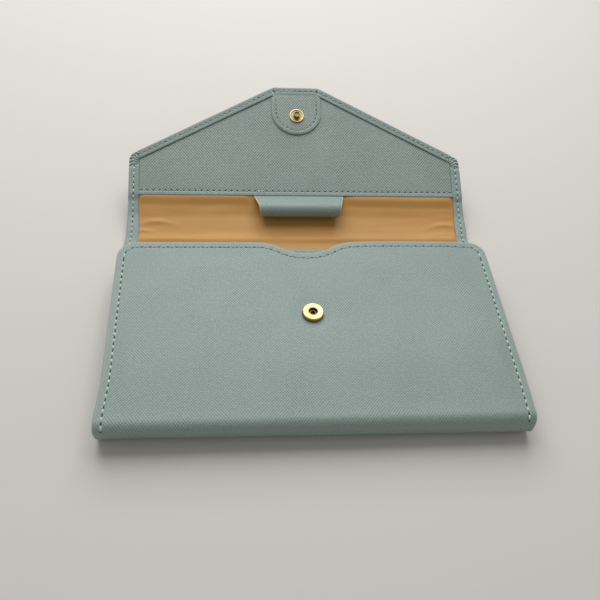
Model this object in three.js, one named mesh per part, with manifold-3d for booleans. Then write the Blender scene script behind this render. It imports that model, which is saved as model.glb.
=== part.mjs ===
// Travel wallet: a long leather cover folded in three, with an envelope flap, a pen loop and a press snap.
// Millimetres, +X across the wallet, +Y from the bottom fold to the flap's tip, +Z up from the table.
// The origin is the middle of the back panel's underside.
import * as THREE from 'three';
import { mergeVertices } from 'three/addons/utils/BufferGeometryUtils.js';
import Module from 'manifold-3d';

const wasm = await Module();
wasm.setup();

// Overall sizes
const bodyWidth = 200;
const flapStepIn = 1.2;
const closedHeight = 126;
const closedThickness = 15.5;
const frontToSpine = 13;
const spineLength = 19;
const spineTaper = 8;
const flapSideLength = 36.2;
const flapLength = 83;
const tipWidth = 28;
const flapCornerRadius = 3;
const tipCornerRadius = 3.5;
const frontCornerRadius = 9;

// Fold angles in degrees: each of the flap's two folds at rest, flat on the table, and closed
const restTilt = 12;

// Sheet thicknesses
const leather = 0.9;
const skivedLeather = 0.6;
const boardThickness = 0.6;
const satin = 0.3;
const pocketLeather = 0.8;
const cardLeather = 0.5;
const windowFilm = 0.3;
const tapeThickness = 0.3;

// Clearances
const layerGap = 0.2;
const foldGap = 0.3;
const slipGap = 0.6;
const pivotClearance = 0.1;

// Turned edges and hems
const sideTurn = 6;
const tipTurn = 5;
const hemFromFold = 11;
const hemWidth = 3;
const hemRise = 0.25;
const boardFromFold = 3;
const topHem = 5;

// Front panel: the notch in its top edge and the slip pocket behind it
const notchHalfWidth = 21;
const notchDepth = 9.5;
const slipDrop = 4.2;
const frontSnapFromMiddle = 0;

// Snap patch on the flap
const patchWidth = 30;
const patchEdgeGap = 0.3;
const patchCentreRise = 3;

// Press snap
const socketRadius = 5.5;
const socketFaceRadius = 5.15;
const socketHeight = 2.2;
const socketMouthRadius = 2.3;
const socketFloor = 0.6;
const socketLip = 0.5;
const grooveRadius = 3.4;
const springWire = 0.5;
const springSplit = 1.2;
const rivetRadius = 1.5;
const rivetBore = 1;
const rivetFlangeRadius = 3.2;
const rivetFlange = 0.35;
const rivetCurlRadius = 2.1;
const rivetCurl = 0.3;
const studRadius = 4.35;
const studDish = 0.4;
const studRim = 0.8;
const knobRadius = 2;
const knobNeck = 1.6;
const knobHollow = 0.9;
const snapClearance = 0.3;
const capRadius = 6;
const capHeight = 1.2;
const postRadius = 1;
const holeClearance = 0.15;

// Pen loop
const loopRootWidth = 51;
const loopNoseWidth = 45;
const loopLeather = 0.9;
const loopReach = 10.3;
const loopNoseRadius = 4.2;
const loopRestAngle = 26;
const loopSeamGap = 0.3;

// Card slots and passport pocket on the inside of the front panel
const pocketBottomMargin = 8;
const pocketMiddleGap = 3;
const pocketSideGap = 0.6;
const pocketCorner = 2;
const cardSlotCount = 3;
const cardSlotHeight = 82;
const cardSlotStep = 11;
const passportPocketHeight = 74;
const thumbCutRadius = 11;
const windowWidth = 68;
const windowHeight = 36;
const windowCorner = 3;
const windowBorder = 5;
const windowFromTop = 12;

// Zipped coin pocket on the inside of the back panel
const coinPocketBottom = -50;
const zipLine = 26;
const coinBandHeight = 14;
const tapeOverlap = 3;
const toothPitch = 3.4;
const toothLength = 1.9;
const toothDepth = 2.6;
const toothMesh = 0.5;
const toothHeight = 1.2;
const zipEndMargin = 8;
const stopLength = 3;
const sliderLength = 10;
const sliderWall = 0.8;
const sliderGap = 0.3;
const sliderRestFromEnd = 1;
const pullBarRadius = 0.45;
const pullEyeRadius = 1.1;
const pullEyeBore = 0.7;
const pullLength = 15;
const pullWidth = 5;
const pullThickness = 0.8;
const pullTilt = 6;
const pullClearance = 0.3;

// Curve smoothness
const trianglePoints = 3;
const arcSteps = 8;
const roundSteps = 28;
const pullSides = 14;
const springSides = 6;

// Heights of the layers above the outer face, from the outside in
const boardLevel = leather + layerGap;
const liningLevel = boardLevel + boardThickness + layerGap;
const turnLevel = liningLevel + satin + layerGap;
const turnTop = turnLevel + skivedLeather;
const panelLevel = turnLevel;
const panelTop = panelLevel + pocketLeather;
const raisedTurnLevel = panelTop + layerGap;
const raisedTurnTop = raisedTurnLevel + skivedLeather;
const patchLevel = panelTop + layerGap;
const patchTop = patchLevel + pocketLeather;
const spineLiningLevel = leather + 2 * layerGap;
const spineTurnLevel = spineLiningLevel + satin + layerGap;
const spineTurnTop = spineTurnLevel + skivedLeather;
const pivotLevel = spineTurnTop + pivotClearance;
const slipLevel = leather + slipGap;
const frontBoardLevel = slipLevel + pocketLeather + layerGap;
const frontLiningLevel = frontBoardLevel + boardThickness + layerGap;
const frontTurnLevel = frontLiningLevel + satin + layerGap;
const frontTurnTop = frontTurnLevel + skivedLeather;

// Places that follow from the sizes
const foldRadius = closedThickness / 2;
const foldCentre = -closedHeight / 2 + foldRadius;
const spineFold = closedHeight / 2;
const frontTop = spineFold - frontToSpine;
const halfBody = bodyWidth / 2;
const halfFlap = halfBody - flapStepIn;
const snapReach = spineFold - frontSnapFromMiddle;
const fromPivot = [0, 0, -pivotLevel];
const foldSplit = 45;
const foldSplitGap = THREE.MathUtils.radToDeg(foldGap / 2 / foldRadius);

// The scene graph
const wallet = new THREE.Group();
const spineGroup = new THREE.Group();
const flapGroup = new THREE.Group();
const loopGroup = new THREE.Group();
spineGroup.position.set(0, spineFold, pivotLevel);
spineGroup.rotation.x = THREE.MathUtils.degToRad(restTilt);
flapGroup.position.set(0, spineLength, 0);
flapGroup.rotation.x = THREE.MathUtils.degToRad(restTilt);
spineGroup.add(flapGroup);
flapGroup.add(loopGroup);
wallet.add(spineGroup);

function finish(color, roughness, metalness = 0) {
  return new THREE.MeshStandardMaterial({ color, roughness, metalness });
}

const coverLeather = finish(0x96a49f, 0.55);
const pocketGrain = finish(0x8d9b96, 0.58);
const goldSatin = finish(0xb3885a, 0.35);
const greyBoard = finish(0x8a857c, 0.9);
const paleGold = finish(0xe2cda0, 0.25, 1);
const clearFilm = finish(0xdfe6e6, 0.15);
const zipFabric = finish(0x8a7a60, 0.85);

// Solids

function toSolid(geometry) {
  const bare = geometry.index ? geometry.toNonIndexed() : geometry;
  bare.deleteAttribute('normal');
  bare.deleteAttribute('uv');
  const merged = mergeVertices(bare);
  const triangles = [];
  for (let start = 0; start < merged.index.count; start += trianglePoints) {
    const [a, b, c] = merged.index.array.slice(start, start + trianglePoints);
    if (a !== b && b !== c && c !== a) triangles.push(a, b, c);
  }
  return new wasm.Manifold(new wasm.Mesh({
    numProp: 3,
    vertProperties: new Float32Array(merged.attributes.position.array),
    triVerts: new Uint32Array(triangles),
  }));
}

function join(...solids) {
  return solids.reduce((whole, next) => whole.add(next));
}

// An outline in the panel's own plane, raised from one level to another and moved along y.
function sheet(outline, low, high, shift = 0) {
  const geometry = new THREE.ExtrudeGeometry(outline, {
    depth: high - low,
    bevelEnabled: false,
    curveSegments: arcSteps,
  });
  geometry.translate(0, shift, low);
  return toSolid(geometry);
}

// A side view drawn as (y, z), run across the wallet from one x to another.
function across(sideView, left, right) {
  const geometry = new THREE.ExtrudeGeometry(sideView, {
    depth: right - left,
    bevelEnabled: false,
    curveSegments: arcSteps,
  });
  geometry.applyMatrix4(new THREE.Matrix4().set(0, 0, 1, left, 1, 0, 0, 0, 0, 1, 0, 0, 0, 0, 0, 1));
  return toSolid(geometry);
}

// A closed profile of (radius, height) points turned about a vertical axis that stands at a point.
function turned(profile, at) {
  const points = [...profile, profile[0]].map(([radius, height]) => new THREE.Vector2(radius, height));
  const geometry = new THREE.LatheGeometry(points, roundSteps);
  geometry.rotateX(Math.PI / 2);
  geometry.translate(...at);
  return toSolid(geometry);
}

function block(low, high) {
  const size = high.map((value, axis) => value - low[axis]);
  const geometry = new THREE.BoxGeometry(...size);
  geometry.translate(...low.map((value, axis) => value + size[axis] / 2));
  return toSolid(geometry);
}

function place(name, solid, material, parent = wallet, offset = [0, 0, 0]) {
  const mesh = solid.getMesh();
  const geometry = new THREE.BufferGeometry();
  geometry.setAttribute('position', new THREE.BufferAttribute(mesh.vertProperties, 3));
  geometry.setIndex(new THREE.BufferAttribute(mesh.triVerts, 1));
  geometry.computeVertexNormals();
  const piece = new THREE.Mesh(geometry, material);
  piece.name = name;
  piece.position.set(...offset);
  parent.add(piece);
  return piece;
}

// Outlines

function corner(x, y, radius = 0) {
  return { x, y, radius };
}

// A closed outline through the corners, counter-clockwise, each rounded by its own radius.
function roundedOutline(corners) {
  const shape = new THREE.Shape();
  const count = corners.length;
  corners.forEach((here, index) => {
    const point = new THREE.Vector2(here.x, here.y);
    const before = corners[(index + count - 1) % count];
    const after = corners[(index + 1) % count];
    const back = new THREE.Vector2(before.x, before.y).sub(point).normalize();
    const on = new THREE.Vector2(after.x, after.y).sub(point).normalize();
    const halfAngle = Math.acos(THREE.MathUtils.clamp(back.dot(on), -1, 1)) / 2;
    const reach = here.radius / Math.tan(halfAngle);
    const start = point.clone().addScaledVector(back, reach);
    const end = point.clone().addScaledVector(on, reach);
    if (index === 0) shape.moveTo(start.x, start.y);
    else shape.lineTo(start.x, start.y);
    if (here.radius > 0) {
      const inward = back.clone().add(on).normalize();
      const centre = point.clone().addScaledVector(inward, here.radius / Math.sin(halfAngle));
      const from = start.clone().sub(centre).angle();
      const to = end.clone().sub(centre).angle();
      shape.absarc(centre.x, centre.y, here.radius, from, to, back.cross(on) > 0);
    }
  });
  shape.closePath();
  return shape;
}

// The same corners with edge i, from corner i to the next, moved inwards by inset i.
function insetCorners(corners, insets) {
  const count = corners.length;
  const edges = corners.map((here, index) => {
    const after = corners[(index + 1) % count];
    const run = new THREE.Vector2(after.x - here.x, after.y - here.y).normalize();
    const inward = new THREE.Vector2(-run.y, run.x);
    return { run, inward, reach: inward.x * here.x + inward.y * here.y + insets[index] };
  });
  return corners.map((here, index) => {
    const one = edges[(index + count - 1) % count];
    const two = edges[index];
    const det = one.inward.x * two.inward.y - one.inward.y * two.inward.x;
    const x = (one.reach * two.inward.y - two.reach * one.inward.y) / det;
    const y = (two.reach * one.inward.x - one.reach * two.inward.x) / det;
    const inset = Math.max(insets[index], 0);
    return corner(x, y, Math.max(here.radius - inset, 0));
  });
}

function rectangle(left, bottom, right, top, radius = 0) {
  return roundedOutline([
    corner(left, bottom, radius),
    corner(right, bottom, radius),
    corner(right, top, radius),
    corner(left, top, radius),
  ]);
}

// A quarter of the bottom fold, cut at its hinge line, and the flat run beyond it, seen from the side.
// low and high are levels in from the outer face, and top is where the flat run ends.
function foldedRun(low, high, top, front = false) {
  const shape = new THREE.Shape();
  const turn = front ? -1 : 1;
  const height = (level) => (front ? closedThickness - level : level);
  const start = THREE.MathUtils.degToRad(270 - foldSplit + foldSplitGap) * turn;
  const end = THREE.MathUtils.degToRad(270) * turn;
  shape.moveTo(top, height(low));
  shape.lineTo(foldCentre, height(low));
  shape.absarc(foldCentre, foldRadius, foldRadius - low, end, start, !front);
  shape.absarc(foldCentre, foldRadius, foldRadius - high, start, end, front);
  shape.lineTo(top, height(high));
  shape.closePath();
  return shape;
}

// The middle of the bottom fold, between its two hinge lines, seen from the side.
function foldedMiddle(low, high) {
  const shape = new THREE.Shape();
  const start = THREE.MathUtils.degToRad(180 - foldSplit + foldSplitGap);
  const end = THREE.MathUtils.degToRad(180 + foldSplit - foldSplitGap);
  shape.absarc(foldCentre, foldRadius, foldRadius - low, start, end, false);
  shape.absarc(foldCentre, foldRadius, foldRadius - high, end, start, true);
  shape.closePath();
  return shape;
}

// A cover sheet with its leather turned in along both sides, over whatever is tucked under it.
function coverWithSides(sideView, turnLow, turnHigh) {
  const parts = [across(sideView(0, leather), -halfBody, halfBody)];
  for (const side of [-1, 1]) {
    const outer = side * halfBody;
    const wall = outer - side * leather;
    const inner = outer - side * sideTurn;
    parts.push(across(sideView(0, turnHigh), Math.min(outer, wall), Math.max(outer, wall)));
    parts.push(across(sideView(turnLow, turnHigh), Math.min(outer, inner), Math.max(outer, inner)));
  }
  return join(...parts);
}

// Back panel

function buildBack() {
  const top = spineFold - foldGap / 2;
  const tuckedHalf = halfBody - leather - layerGap;
  const cover = coverWithSides((low, high) => foldedRun(low, high, top), turnLevel, turnTop);
  const board = rectangle(-tuckedHalf, foldCentre, tuckedHalf, spineFold - boardFromFold);
  place('back_cover', cover, coverLeather);
  place('back_board', sheet(board, boardLevel, boardLevel + boardThickness), greyBoard);
  const lining = foldedRun(liningLevel, liningLevel + satin, top);
  place('back_lining', across(lining, -tuckedHalf, tuckedHalf), goldSatin);
}

// Coin pocket and its zip, inside the back panel

const pocketHalf = halfBody - sideTurn - pocketSideGap;
const tapeLevel = liningLevel + satin + layerGap;
const toothLevel = tapeLevel + tapeThickness;
const coinLevel = toothLevel + layerGap;
const coinTop = coinLevel + pocketLeather;
const toothTop = toothLevel + toothHeight;
const zipEnd = pocketHalf - zipEndMargin;
const channelHalf = toothDepth + sliderGap;
const sliderHalf = channelHalf + sliderWall;
const sliderBottom = toothLevel + sliderGap;
const sliderTop = toothTop + sliderGap + sliderWall;
const sliderCentre = zipEnd - stopLength - sliderLength / 2 - sliderRestFromEnd;
const pullPivotX = sliderCentre + sliderLength / 4;
const pullPivotLevel = sliderTop + pullEyeRadius + pullClearance;

function buildCoinPocket() {
  const bandBottom = zipLine + sliderHalf + sliderGap;
  const panelEdge = zipLine - sliderHalf - sliderGap;
  const panel = rectangle(-pocketHalf, coinPocketBottom, pocketHalf, panelEdge);
  const band = rectangle(-pocketHalf, bandBottom, pocketHalf, bandBottom + coinBandHeight);
  const tape = rectangle(-pocketHalf, panelEdge - tapeOverlap, pocketHalf, bandBottom + tapeOverlap);
  place('coin_pocket_panel', sheet(panel, coinLevel, coinTop), pocketGrain);
  place('coin_pocket_band', sheet(band, coinLevel, coinTop), pocketGrain);
  place('zip_tape', sheet(tape, tapeLevel, toothLevel), zipFabric);
  place('zip_teeth', join(...zipTeeth()), paleGold);
}

// Two rows of teeth in mesh: the rows stand half a pitch apart and reach past each other in the middle.
// A stop closes the chain at each end.
function zipTeeth() {
  const teeth = [];
  const firstTooth = -zipEnd + stopLength;
  const count = Math.floor((2 * zipEnd - 2 * stopLength) / toothPitch);
  const tooth = (left, right, near, far) => teeth.push(block(
    [left, Math.min(near, far), toothLevel],
    [right, Math.max(near, far), toothTop],
  ));
  for (let index = 0; index < count; index += 1) {
    for (const side of [-1, 1]) {
      const x = firstTooth + (index + (side + 1) / 4) * toothPitch;
      const near = zipLine - side * toothMesh;
      const far = zipLine + side * toothDepth;
      tooth(x - toothLength / 2, x + toothLength / 2, near, far);
    }
  }
  const lastTooth = firstTooth + (count - 1 / 2) * toothPitch;
  tooth(-zipEnd, firstTooth, zipLine - toothDepth, zipLine + toothDepth);
  tooth(lastTooth, zipEnd, zipLine - toothDepth, zipLine + toothDepth);
  return teeth;
}

// The slider straddles the teeth and carries the bar that the pull swings on.
function buildSlider() {
  const left = sliderCentre - sliderLength / 2;
  const right = sliderCentre + sliderLength / 2;
  const shoulder = sliderHalf * 0.8;
  const crown = roundedOutline([
    corner(left, zipLine - sliderHalf, sliderWall),
    corner(right, zipLine - sliderHalf, shoulder),
    corner(right, zipLine + sliderHalf, shoulder),
    corner(left, zipLine + sliderHalf, sliderWall),
  ]);
  const low = zipLine - channelHalf;
  const high = zipLine + channelHalf;
  const channel = rectangle(left - sliderWall, low, right + sliderWall, high);
  const shell = sheet(crown, sliderBottom, sliderTop).subtract(sheet(channel, 0, toothTop + sliderGap));
  const earInside = pullWidth / 2 + pullClearance;
  const earOutside = earInside + sliderWall;
  const ears = [[-earOutside, -earInside], [earInside, earOutside]].map(([near, far]) => block(
    [pullPivotX - pullEyeRadius, zipLine + near, toothTop + sliderGap],
    [pullPivotX + pullEyeRadius, zipLine + far, pullPivotLevel + pullBarRadius],
  ));
  const barLength = 2 * earOutside - sliderWall;
  const bar = new THREE.CylinderGeometry(pullBarRadius, pullBarRadius, barLength, pullSides);
  bar.translate(pullPivotX, zipLine, pullPivotLevel);
  place('zip_slider', join(shell, ...ears, toSolid(bar)), paleGold);
}

// A flat tab behind a rolled eye, which lies on the pocket below it.
function buildPull() {
  const eye = new THREE.CylinderGeometry(pullEyeRadius, pullEyeRadius, pullWidth, pullSides);
  const bore = new THREE.CylinderGeometry(pullEyeBore, pullEyeBore, pullWidth + 1, pullSides);
  const half = pullWidth / 2;
  const tab = rectangle(-pullLength, -half, -pullEyeBore - layerGap, half, half / 2);
  const slot = rectangle(-pullLength + half, -half / 2, -pullLength / 2, half / 2, half / 3);
  const body = join(toSolid(eye), sheet(tab, -pullThickness / 2, pullThickness / 2));
  const pull = body.subtract(toSolid(bore)).subtract(sheet(slot, -pullThickness, pullThickness));
  const piece = place('zip_pull', pull, paleGold, wallet, [pullPivotX, zipLine, pullPivotLevel]);
  piece.rotation.y = THREE.MathUtils.degToRad(-pullTilt);
}

// Bottom fold

function buildBottomFold() {
  const tuckedHalf = halfBody - leather - layerGap;
  const lining = across(foldedMiddle(liningLevel, liningLevel + satin), -tuckedHalf, tuckedHalf);
  place('bottom_fold_cover', coverWithSides(foldedMiddle, turnLevel, turnTop), coverLeather);
  place('bottom_fold_lining', lining, goldSatin);
}

// Front panel

// The top edge runs in smooth curves down to the notch's lowest point and up again.
function frontOutline() {
  const notchHandle = notchHalfWidth * 0.5;
  const shape = new THREE.Shape();
  const shoulder = frontTop - frontCornerRadius;
  const round = halfBody - frontCornerRadius;
  shape.moveTo(-halfBody, foldCentre);
  shape.lineTo(halfBody, foldCentre);
  shape.lineTo(halfBody, shoulder);
  shape.absarc(round, shoulder, frontCornerRadius, 0, Math.PI / 2, false);
  for (const side of [1, -1]) {
    const high = frontTop;
    const low = frontTop - notchDepth;
    const start = side > 0 ? high : low;
    const end = side > 0 ? low : high;
    const from = side > 0 ? notchHalfWidth : 0;
    const to = side > 0 ? 0 : -notchHalfWidth;
    shape.lineTo(from, start);
    shape.bezierCurveTo(from - notchHandle, start, to + notchHandle, end, to, end);
  }
  shape.absarc(-round, shoulder, frontCornerRadius, Math.PI / 2, Math.PI, false);
  shape.closePath();
  return shape;
}

// A flat layer of the front panel, at levels counted down from its outer face.
function frontSheet(outline, low, high) {
  return sheet(outline, closedThickness - high, closedThickness - low);
}

function frontRun(low, high, top) {
  return foldedRun(low, high, top, true);
}

function snapHole(radius) {
  return turned([[0, -closedThickness], [radius, -closedThickness], [radius, 2 * closedThickness],
    [0, 2 * closedThickness]], [0, frontSnapFromMiddle, 0]);
}

function buildFrontCover() {
  const sideTop = frontTop - frontCornerRadius;
  const face = frontSheet(frontOutline(), 0, leather);
  const sides = coverWithSides((low, high) => frontRun(low, high, sideTop), frontTurnLevel, frontTurnTop);
  const hemLow = leather + slipGap - layerGap;
  const below = sheet(frontOutline(), 0, 2 * closedThickness, -topHem);
  const hem = frontSheet(frontOutline(), 0, hemLow).subtract(below);
  const cover = join(face, sides, hem).subtract(snapHole(rivetRadius + holeClearance));
  place('front_cover', cover, coverLeather);
}

// The second leather layer, which is turned down over the board and lining at its own top edge.
function buildSlipPanel() {
  const half = halfBody - leather - layerGap;
  const top = frontTop - slipDrop;
  const round = frontCornerRadius - leather;
  const outline = roundedOutline([
    corner(-half, foldCentre),
    corner(half, foldCentre),
    corner(half, top, round),
    corner(-half, top, round),
  ]);
  const straight = half - round;
  const edge = rectangle(-straight, top - skivedLeather, straight, top);
  const turn = rectangle(-straight, top - topHem, straight, top);
  place('slip_pocket_panel', join(
    frontSheet(outline, slipLevel, slipLevel + pocketLeather),
    frontSheet(edge, slipLevel, frontTurnTop),
    frontSheet(turn, frontTurnLevel, frontTurnTop),
  ), pocketGrain);
}

function buildFrontLining() {
  const half = halfBody - leather - layerGap;
  const top = frontTop - slipDrop - skivedLeather - layerGap;
  const cut = frontCornerRadius - leather;
  const outline = roundedOutline([
    corner(-half, foldCentre),
    corner(half, foldCentre),
    corner(half, top, cut),
    corner(-half, top, cut),
  ]);
  place('front_board', frontSheet(outline, frontBoardLevel, frontBoardLevel + boardThickness), greyBoard);
  place('front_lining', frontSheet(outline, frontLiningLevel, frontLiningLevel + satin), goldSatin);
}

// Card slots, each lying on the last and a step shorter, with a window in the lowest.
function buildCardSlots() {
  const left = -pocketHalf;
  const right = -pocketMiddleGap / 2;
  const bottom = foldCentre + pocketBottomMargin;
  const middle = (left + right) / 2;
  for (let index = 0; index < cardSlotCount; index += 1) {
    const level = frontTurnLevel + index * (cardLeather + layerGap);
    const top = bottom + cardSlotHeight - index * cardSlotStep;
    const slot = rectangle(left, bottom, right, top, pocketCorner);
    const last = index === cardSlotCount - 1;
    const low = last ? level + windowFilm + layerGap : level;
    let solid = frontSheet(slot, low, low + cardLeather);
    if (last) {
      const opening = rectangle(middle - windowWidth / 2, top - windowFromTop - windowHeight,
        middle + windowWidth / 2, top - windowFromTop, windowCorner);
      const film = rectangle(middle - windowWidth / 2 - windowBorder, top - windowFromTop - windowHeight
        - windowBorder, middle + windowWidth / 2 + windowBorder, top - windowFromTop + windowBorder);
      solid = solid.subtract(frontSheet(opening, 0, closedThickness));
      place('id_window', frontSheet(film, level, level + windowFilm), clearFilm);
    }
    place(`card_slot_${index + 1}`, solid, pocketGrain);
  }
}

// The passport pocket has a half-round thumb cut in the middle of its edge.
function buildPassportPocket() {
  const left = pocketMiddleGap / 2;
  const bottom = foldCentre + pocketBottomMargin;
  const top = bottom + passportPocketHeight;
  const middle = (left + pocketHalf) / 2;
  const shape = new THREE.Shape();
  shape.moveTo(left, bottom);
  shape.lineTo(pocketHalf, bottom);
  shape.lineTo(pocketHalf, top);
  shape.lineTo(middle + thumbCutRadius, top);
  shape.absarc(middle, top, thumbCutRadius, 0, Math.PI, true);
  shape.lineTo(left, top);
  shape.closePath();
  place('passport_pocket', frontSheet(shape, frontTurnLevel, frontTurnLevel + pocketLeather), pocketGrain);
}

// Press snap

// The socket stands on the front's outer face, with a split ring of wire in its groove.
function buildSocket() {
  const at = [0, frontSnapFromMiddle, closedThickness];
  const grooveTop = socketHeight - socketLip;
  const socket = turned([
    [rivetRadius + holeClearance, 0],
    [socketRadius, 0],
    [socketRadius, grooveTop - socketLip],
    [socketFaceRadius, socketHeight - socketLip / 4],
    [socketFaceRadius - socketLip / 2, socketHeight],
    [socketMouthRadius + socketLip / 2, socketHeight],
    [socketMouthRadius, socketHeight - socketLip / 4],
    [socketMouthRadius, grooveTop],
    [grooveRadius, grooveTop],
    [grooveRadius, socketFloor],
    [rivetRadius + holeClearance, socketFloor],
  ], at);
  const springRadius = grooveRadius - springWire / 2 - holeClearance;
  const ring = new THREE.TorusGeometry(springRadius, springWire / 2, springSides, roundSteps);
  ring.translate(at[0], at[1], at[2] + (socketFloor + grooveTop) / 2);
  const split = block(
    [0, at[1] - springSplit / 2, at[2]],
    [socketRadius, at[1] + springSplit / 2, at[2] + socketHeight],
  );
  place('snap_socket', socket, paleGold);
  place('snap_spring', toSolid(ring).subtract(split), paleGold);
}

// The hollow rivet holds the socket: a flange behind the leather and a rolled top on the socket's floor.
function buildRivet() {
  const rivet = turned([
    [rivetBore, -leather - rivetFlange],
    [rivetFlangeRadius, -leather - rivetFlange],
    [rivetFlangeRadius, -leather],
    [rivetRadius, -leather],
    [rivetRadius, socketFloor],
    [rivetCurlRadius, socketFloor],
    [rivetCurlRadius, socketFloor + rivetCurl / 2],
    [rivetRadius, socketFloor + rivetCurl],
    [rivetBore, socketFloor + rivetCurl],
  ], [0, frontSnapFromMiddle, closedThickness]);
  place('snap_rivet', rivet, paleGold);
}

// Spine and flap: sheets whose leather is turned in along every edge that isn't a fold

// Insets for the edges of a panel's outline; a negative one opens the cut past a fold.
function edgeInsets(sides, foldEdges) {
  return sides.map((inset, index) => (foldEdges.includes(index) ? -sideTurn : inset));
}

// The border of an outline, from its edge in to the given insets.
function border(corners, insets, low, high) {
  const inner = roundedOutline(insetCorners(corners, insets));
  return sheet(roundedOutline(corners), low, high).subtract(sheet(inner, low - 1, high + 1));
}

function spineCorners() {
  const low = foldGap / 2;
  const high = spineLength - foldGap / 2;
  return [
    corner(-halfBody, low),
    corner(halfBody, low),
    corner(halfFlap, low + spineTaper),
    corner(halfFlap, high),
    corner(-halfFlap, high),
    corner(-halfFlap, low + spineTaper),
  ];
}

const spineFolds = [0, 3];

function buildSpine() {
  const corners = spineCorners();
  const wall = edgeInsets(corners.map(() => leather), spineFolds);
  const turn = edgeInsets(corners.map(() => sideTurn), spineFolds);
  const cover = join(
    sheet(roundedOutline(corners), 0, leather),
    border(corners, wall, 0, spineTurnTop),
    border(corners, turn, spineTurnLevel, spineTurnTop),
  );
  const tucked = corners.map(({ x, y }) => corner(x - Math.sign(x) * (leather + layerGap), y));
  const lining = sheet(roundedOutline(tucked), spineLiningLevel, spineLiningLevel + satin);
  place('spine_cover', cover, coverLeather, spineGroup, fromPivot);
  place('spine_lining', lining, goldSatin, spineGroup, fromPivot);
}

function flapCorners(low = foldGap / 2) {
  return [
    corner(-halfFlap, low),
    corner(halfFlap, low),
    corner(halfFlap, flapSideLength, flapCornerRadius),
    corner(tipWidth / 2, flapLength, tipCornerRadius),
    corner(-tipWidth / 2, flapLength, tipCornerRadius),
    corner(-halfFlap, flapSideLength, flapCornerRadius),
  ];
}

// The flap's turned edge is wider along its sides than along its point.
const flapTurns = [-sideTurn, sideTurn, tipTurn, tipTurn, tipTurn, sideTurn];
const flapFold = [0];

function postHole(radius) {
  return turned([[0, -closedThickness], [radius, -closedThickness], [radius, closedThickness],
    [0, closedThickness]], [0, snapReach, 0]);
}

// Below the pocket's hem the turned edge lies on the lining, and beyond it on the pocket panel.
function buildFlapCover() {
  const corners = flapCorners();
  const wall = edgeInsets(corners.map(() => leather), flapFold);
  const riserTop = hemFromFold - layerGap;
  const riserLow = riserTop - skivedLeather;
  const reach = flapLength + closedThickness;
  const beyond = (y) => block([-bodyWidth, y, -1], [bodyWidth, reach, closedThickness]);
  const lowTurn = join(
    border(corners, wall, 0, turnTop),
    border(corners, flapTurns, turnLevel, turnTop),
  ).subtract(beyond(riserTop));
  const highTurn = join(
    border(corners, wall, 0, raisedTurnTop),
    border(corners, flapTurns, raisedTurnLevel, raisedTurnTop),
  ).intersect(beyond(riserLow));
  const riser = border(corners, flapTurns, turnLevel, raisedTurnTop)
    .intersect(beyond(riserLow))
    .subtract(beyond(riserTop));
  const cover = join(sheet(roundedOutline(corners), 0, leather), lowTurn, highTurn, riser)
    .subtract(postHole(postRadius + holeClearance));
  place('flap_cover', cover, coverLeather, flapGroup, fromPivot);
}

// A layer tucked inside the flap's turned edge, from a line above the fold to the point.
function tuckedInFlap(start, low, high) {
  const corners = flapCorners(start);
  const insets = edgeInsets(corners.map(() => leather + layerGap), flapFold);
  insets[0] = 0;
  const outline = roundedOutline(insetCorners(corners, insets));
  return sheet(outline, low, high).subtract(postHole(postRadius + holeClearance));
}

function buildFlapLayers() {
  const board = tuckedInFlap(boardFromFold, boardLevel, boardLevel + boardThickness);
  const lining = tuckedInFlap(foldGap / 2, liningLevel, liningLevel + satin);
  const panel = tuckedInFlap(hemFromFold, panelLevel, panelTop);
  const hemHalf = halfFlap - sideTurn - layerGap;
  const hem = rectangle(-hemHalf, hemFromFold, hemHalf, hemFromFold + hemWidth);
  place('flap_board', board, greyBoard, flapGroup, fromPivot);
  place('flap_lining', lining, goldSatin, flapGroup, fromPivot);
  place('flap_pocket_panel', join(panel, sheet(hem, panelLevel, panelTop + hemRise)), pocketGrain, flapGroup,
    fromPivot);
}

// The patch under the snap: a half round below, with straight sides up to the turned point.
function buildSnapPatch() {
  const half = patchWidth / 2;
  const middle = snapReach + patchCentreRise;
  const top = flapLength - tipTurn - patchEdgeGap;
  const shape = new THREE.Shape();
  shape.moveTo(half, middle);
  shape.lineTo(half, top);
  shape.lineTo(-half, top);
  shape.lineTo(-half, middle);
  shape.absarc(0, middle, half, Math.PI, 2 * Math.PI, false);
  shape.closePath();
  const within = roundedOutline(insetCorners(flapCorners(), flapTurns.map((turn) => turn + patchEdgeGap)));
  const patch = sheet(shape, patchLevel, patchTop)
    .intersect(sheet(within, 0, closedThickness))
    .subtract(postHole(postRadius + holeClearance));
  place('snap_patch', patch, pocketGrain, flapGroup, fromPivot);
}

// The stud: a dished flange with a rolled rim, and a hollow knob that snaps into the socket.
const studBase = patchTop + layerGap;
const closedFlapLevel = 2 * pivotLevel + spineLength - closedThickness;
const studHeight = closedFlapLevel - studBase - socketFloor - rivetCurl - snapClearance;

function buildStud() {
  const neckTop = studHeight - (knobRadius - knobNeck) * 2;
  const stud = turned([
    [0, studDish * 2],
    [postRadius + holeClearance, studDish * 2],
    [postRadius + holeClearance, 0],
    [studRadius, 0],
    [studRadius, studRim - studDish / 2],
    [studRadius - studDish / 2, studRim],
    [studRadius - studDish * 1.5, studRim],
    [studRadius - studDish * 2.5, studDish],
    [knobNeck, studDish],
    [knobNeck, neckTop],
    [knobRadius, neckTop + (studHeight - neckTop) / 3],
    [knobRadius, studHeight - (studHeight - neckTop) / 3],
    [knobRadius - studDish / 2, studHeight],
    [knobHollow, studHeight],
    [knobHollow, studHeight - studDish * 2],
    [0, studHeight - studDish * 2],
  ], [0, snapReach, studBase]);
  place('snap_stud', stud, paleGold, flapGroup, fromPivot);
}

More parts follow.
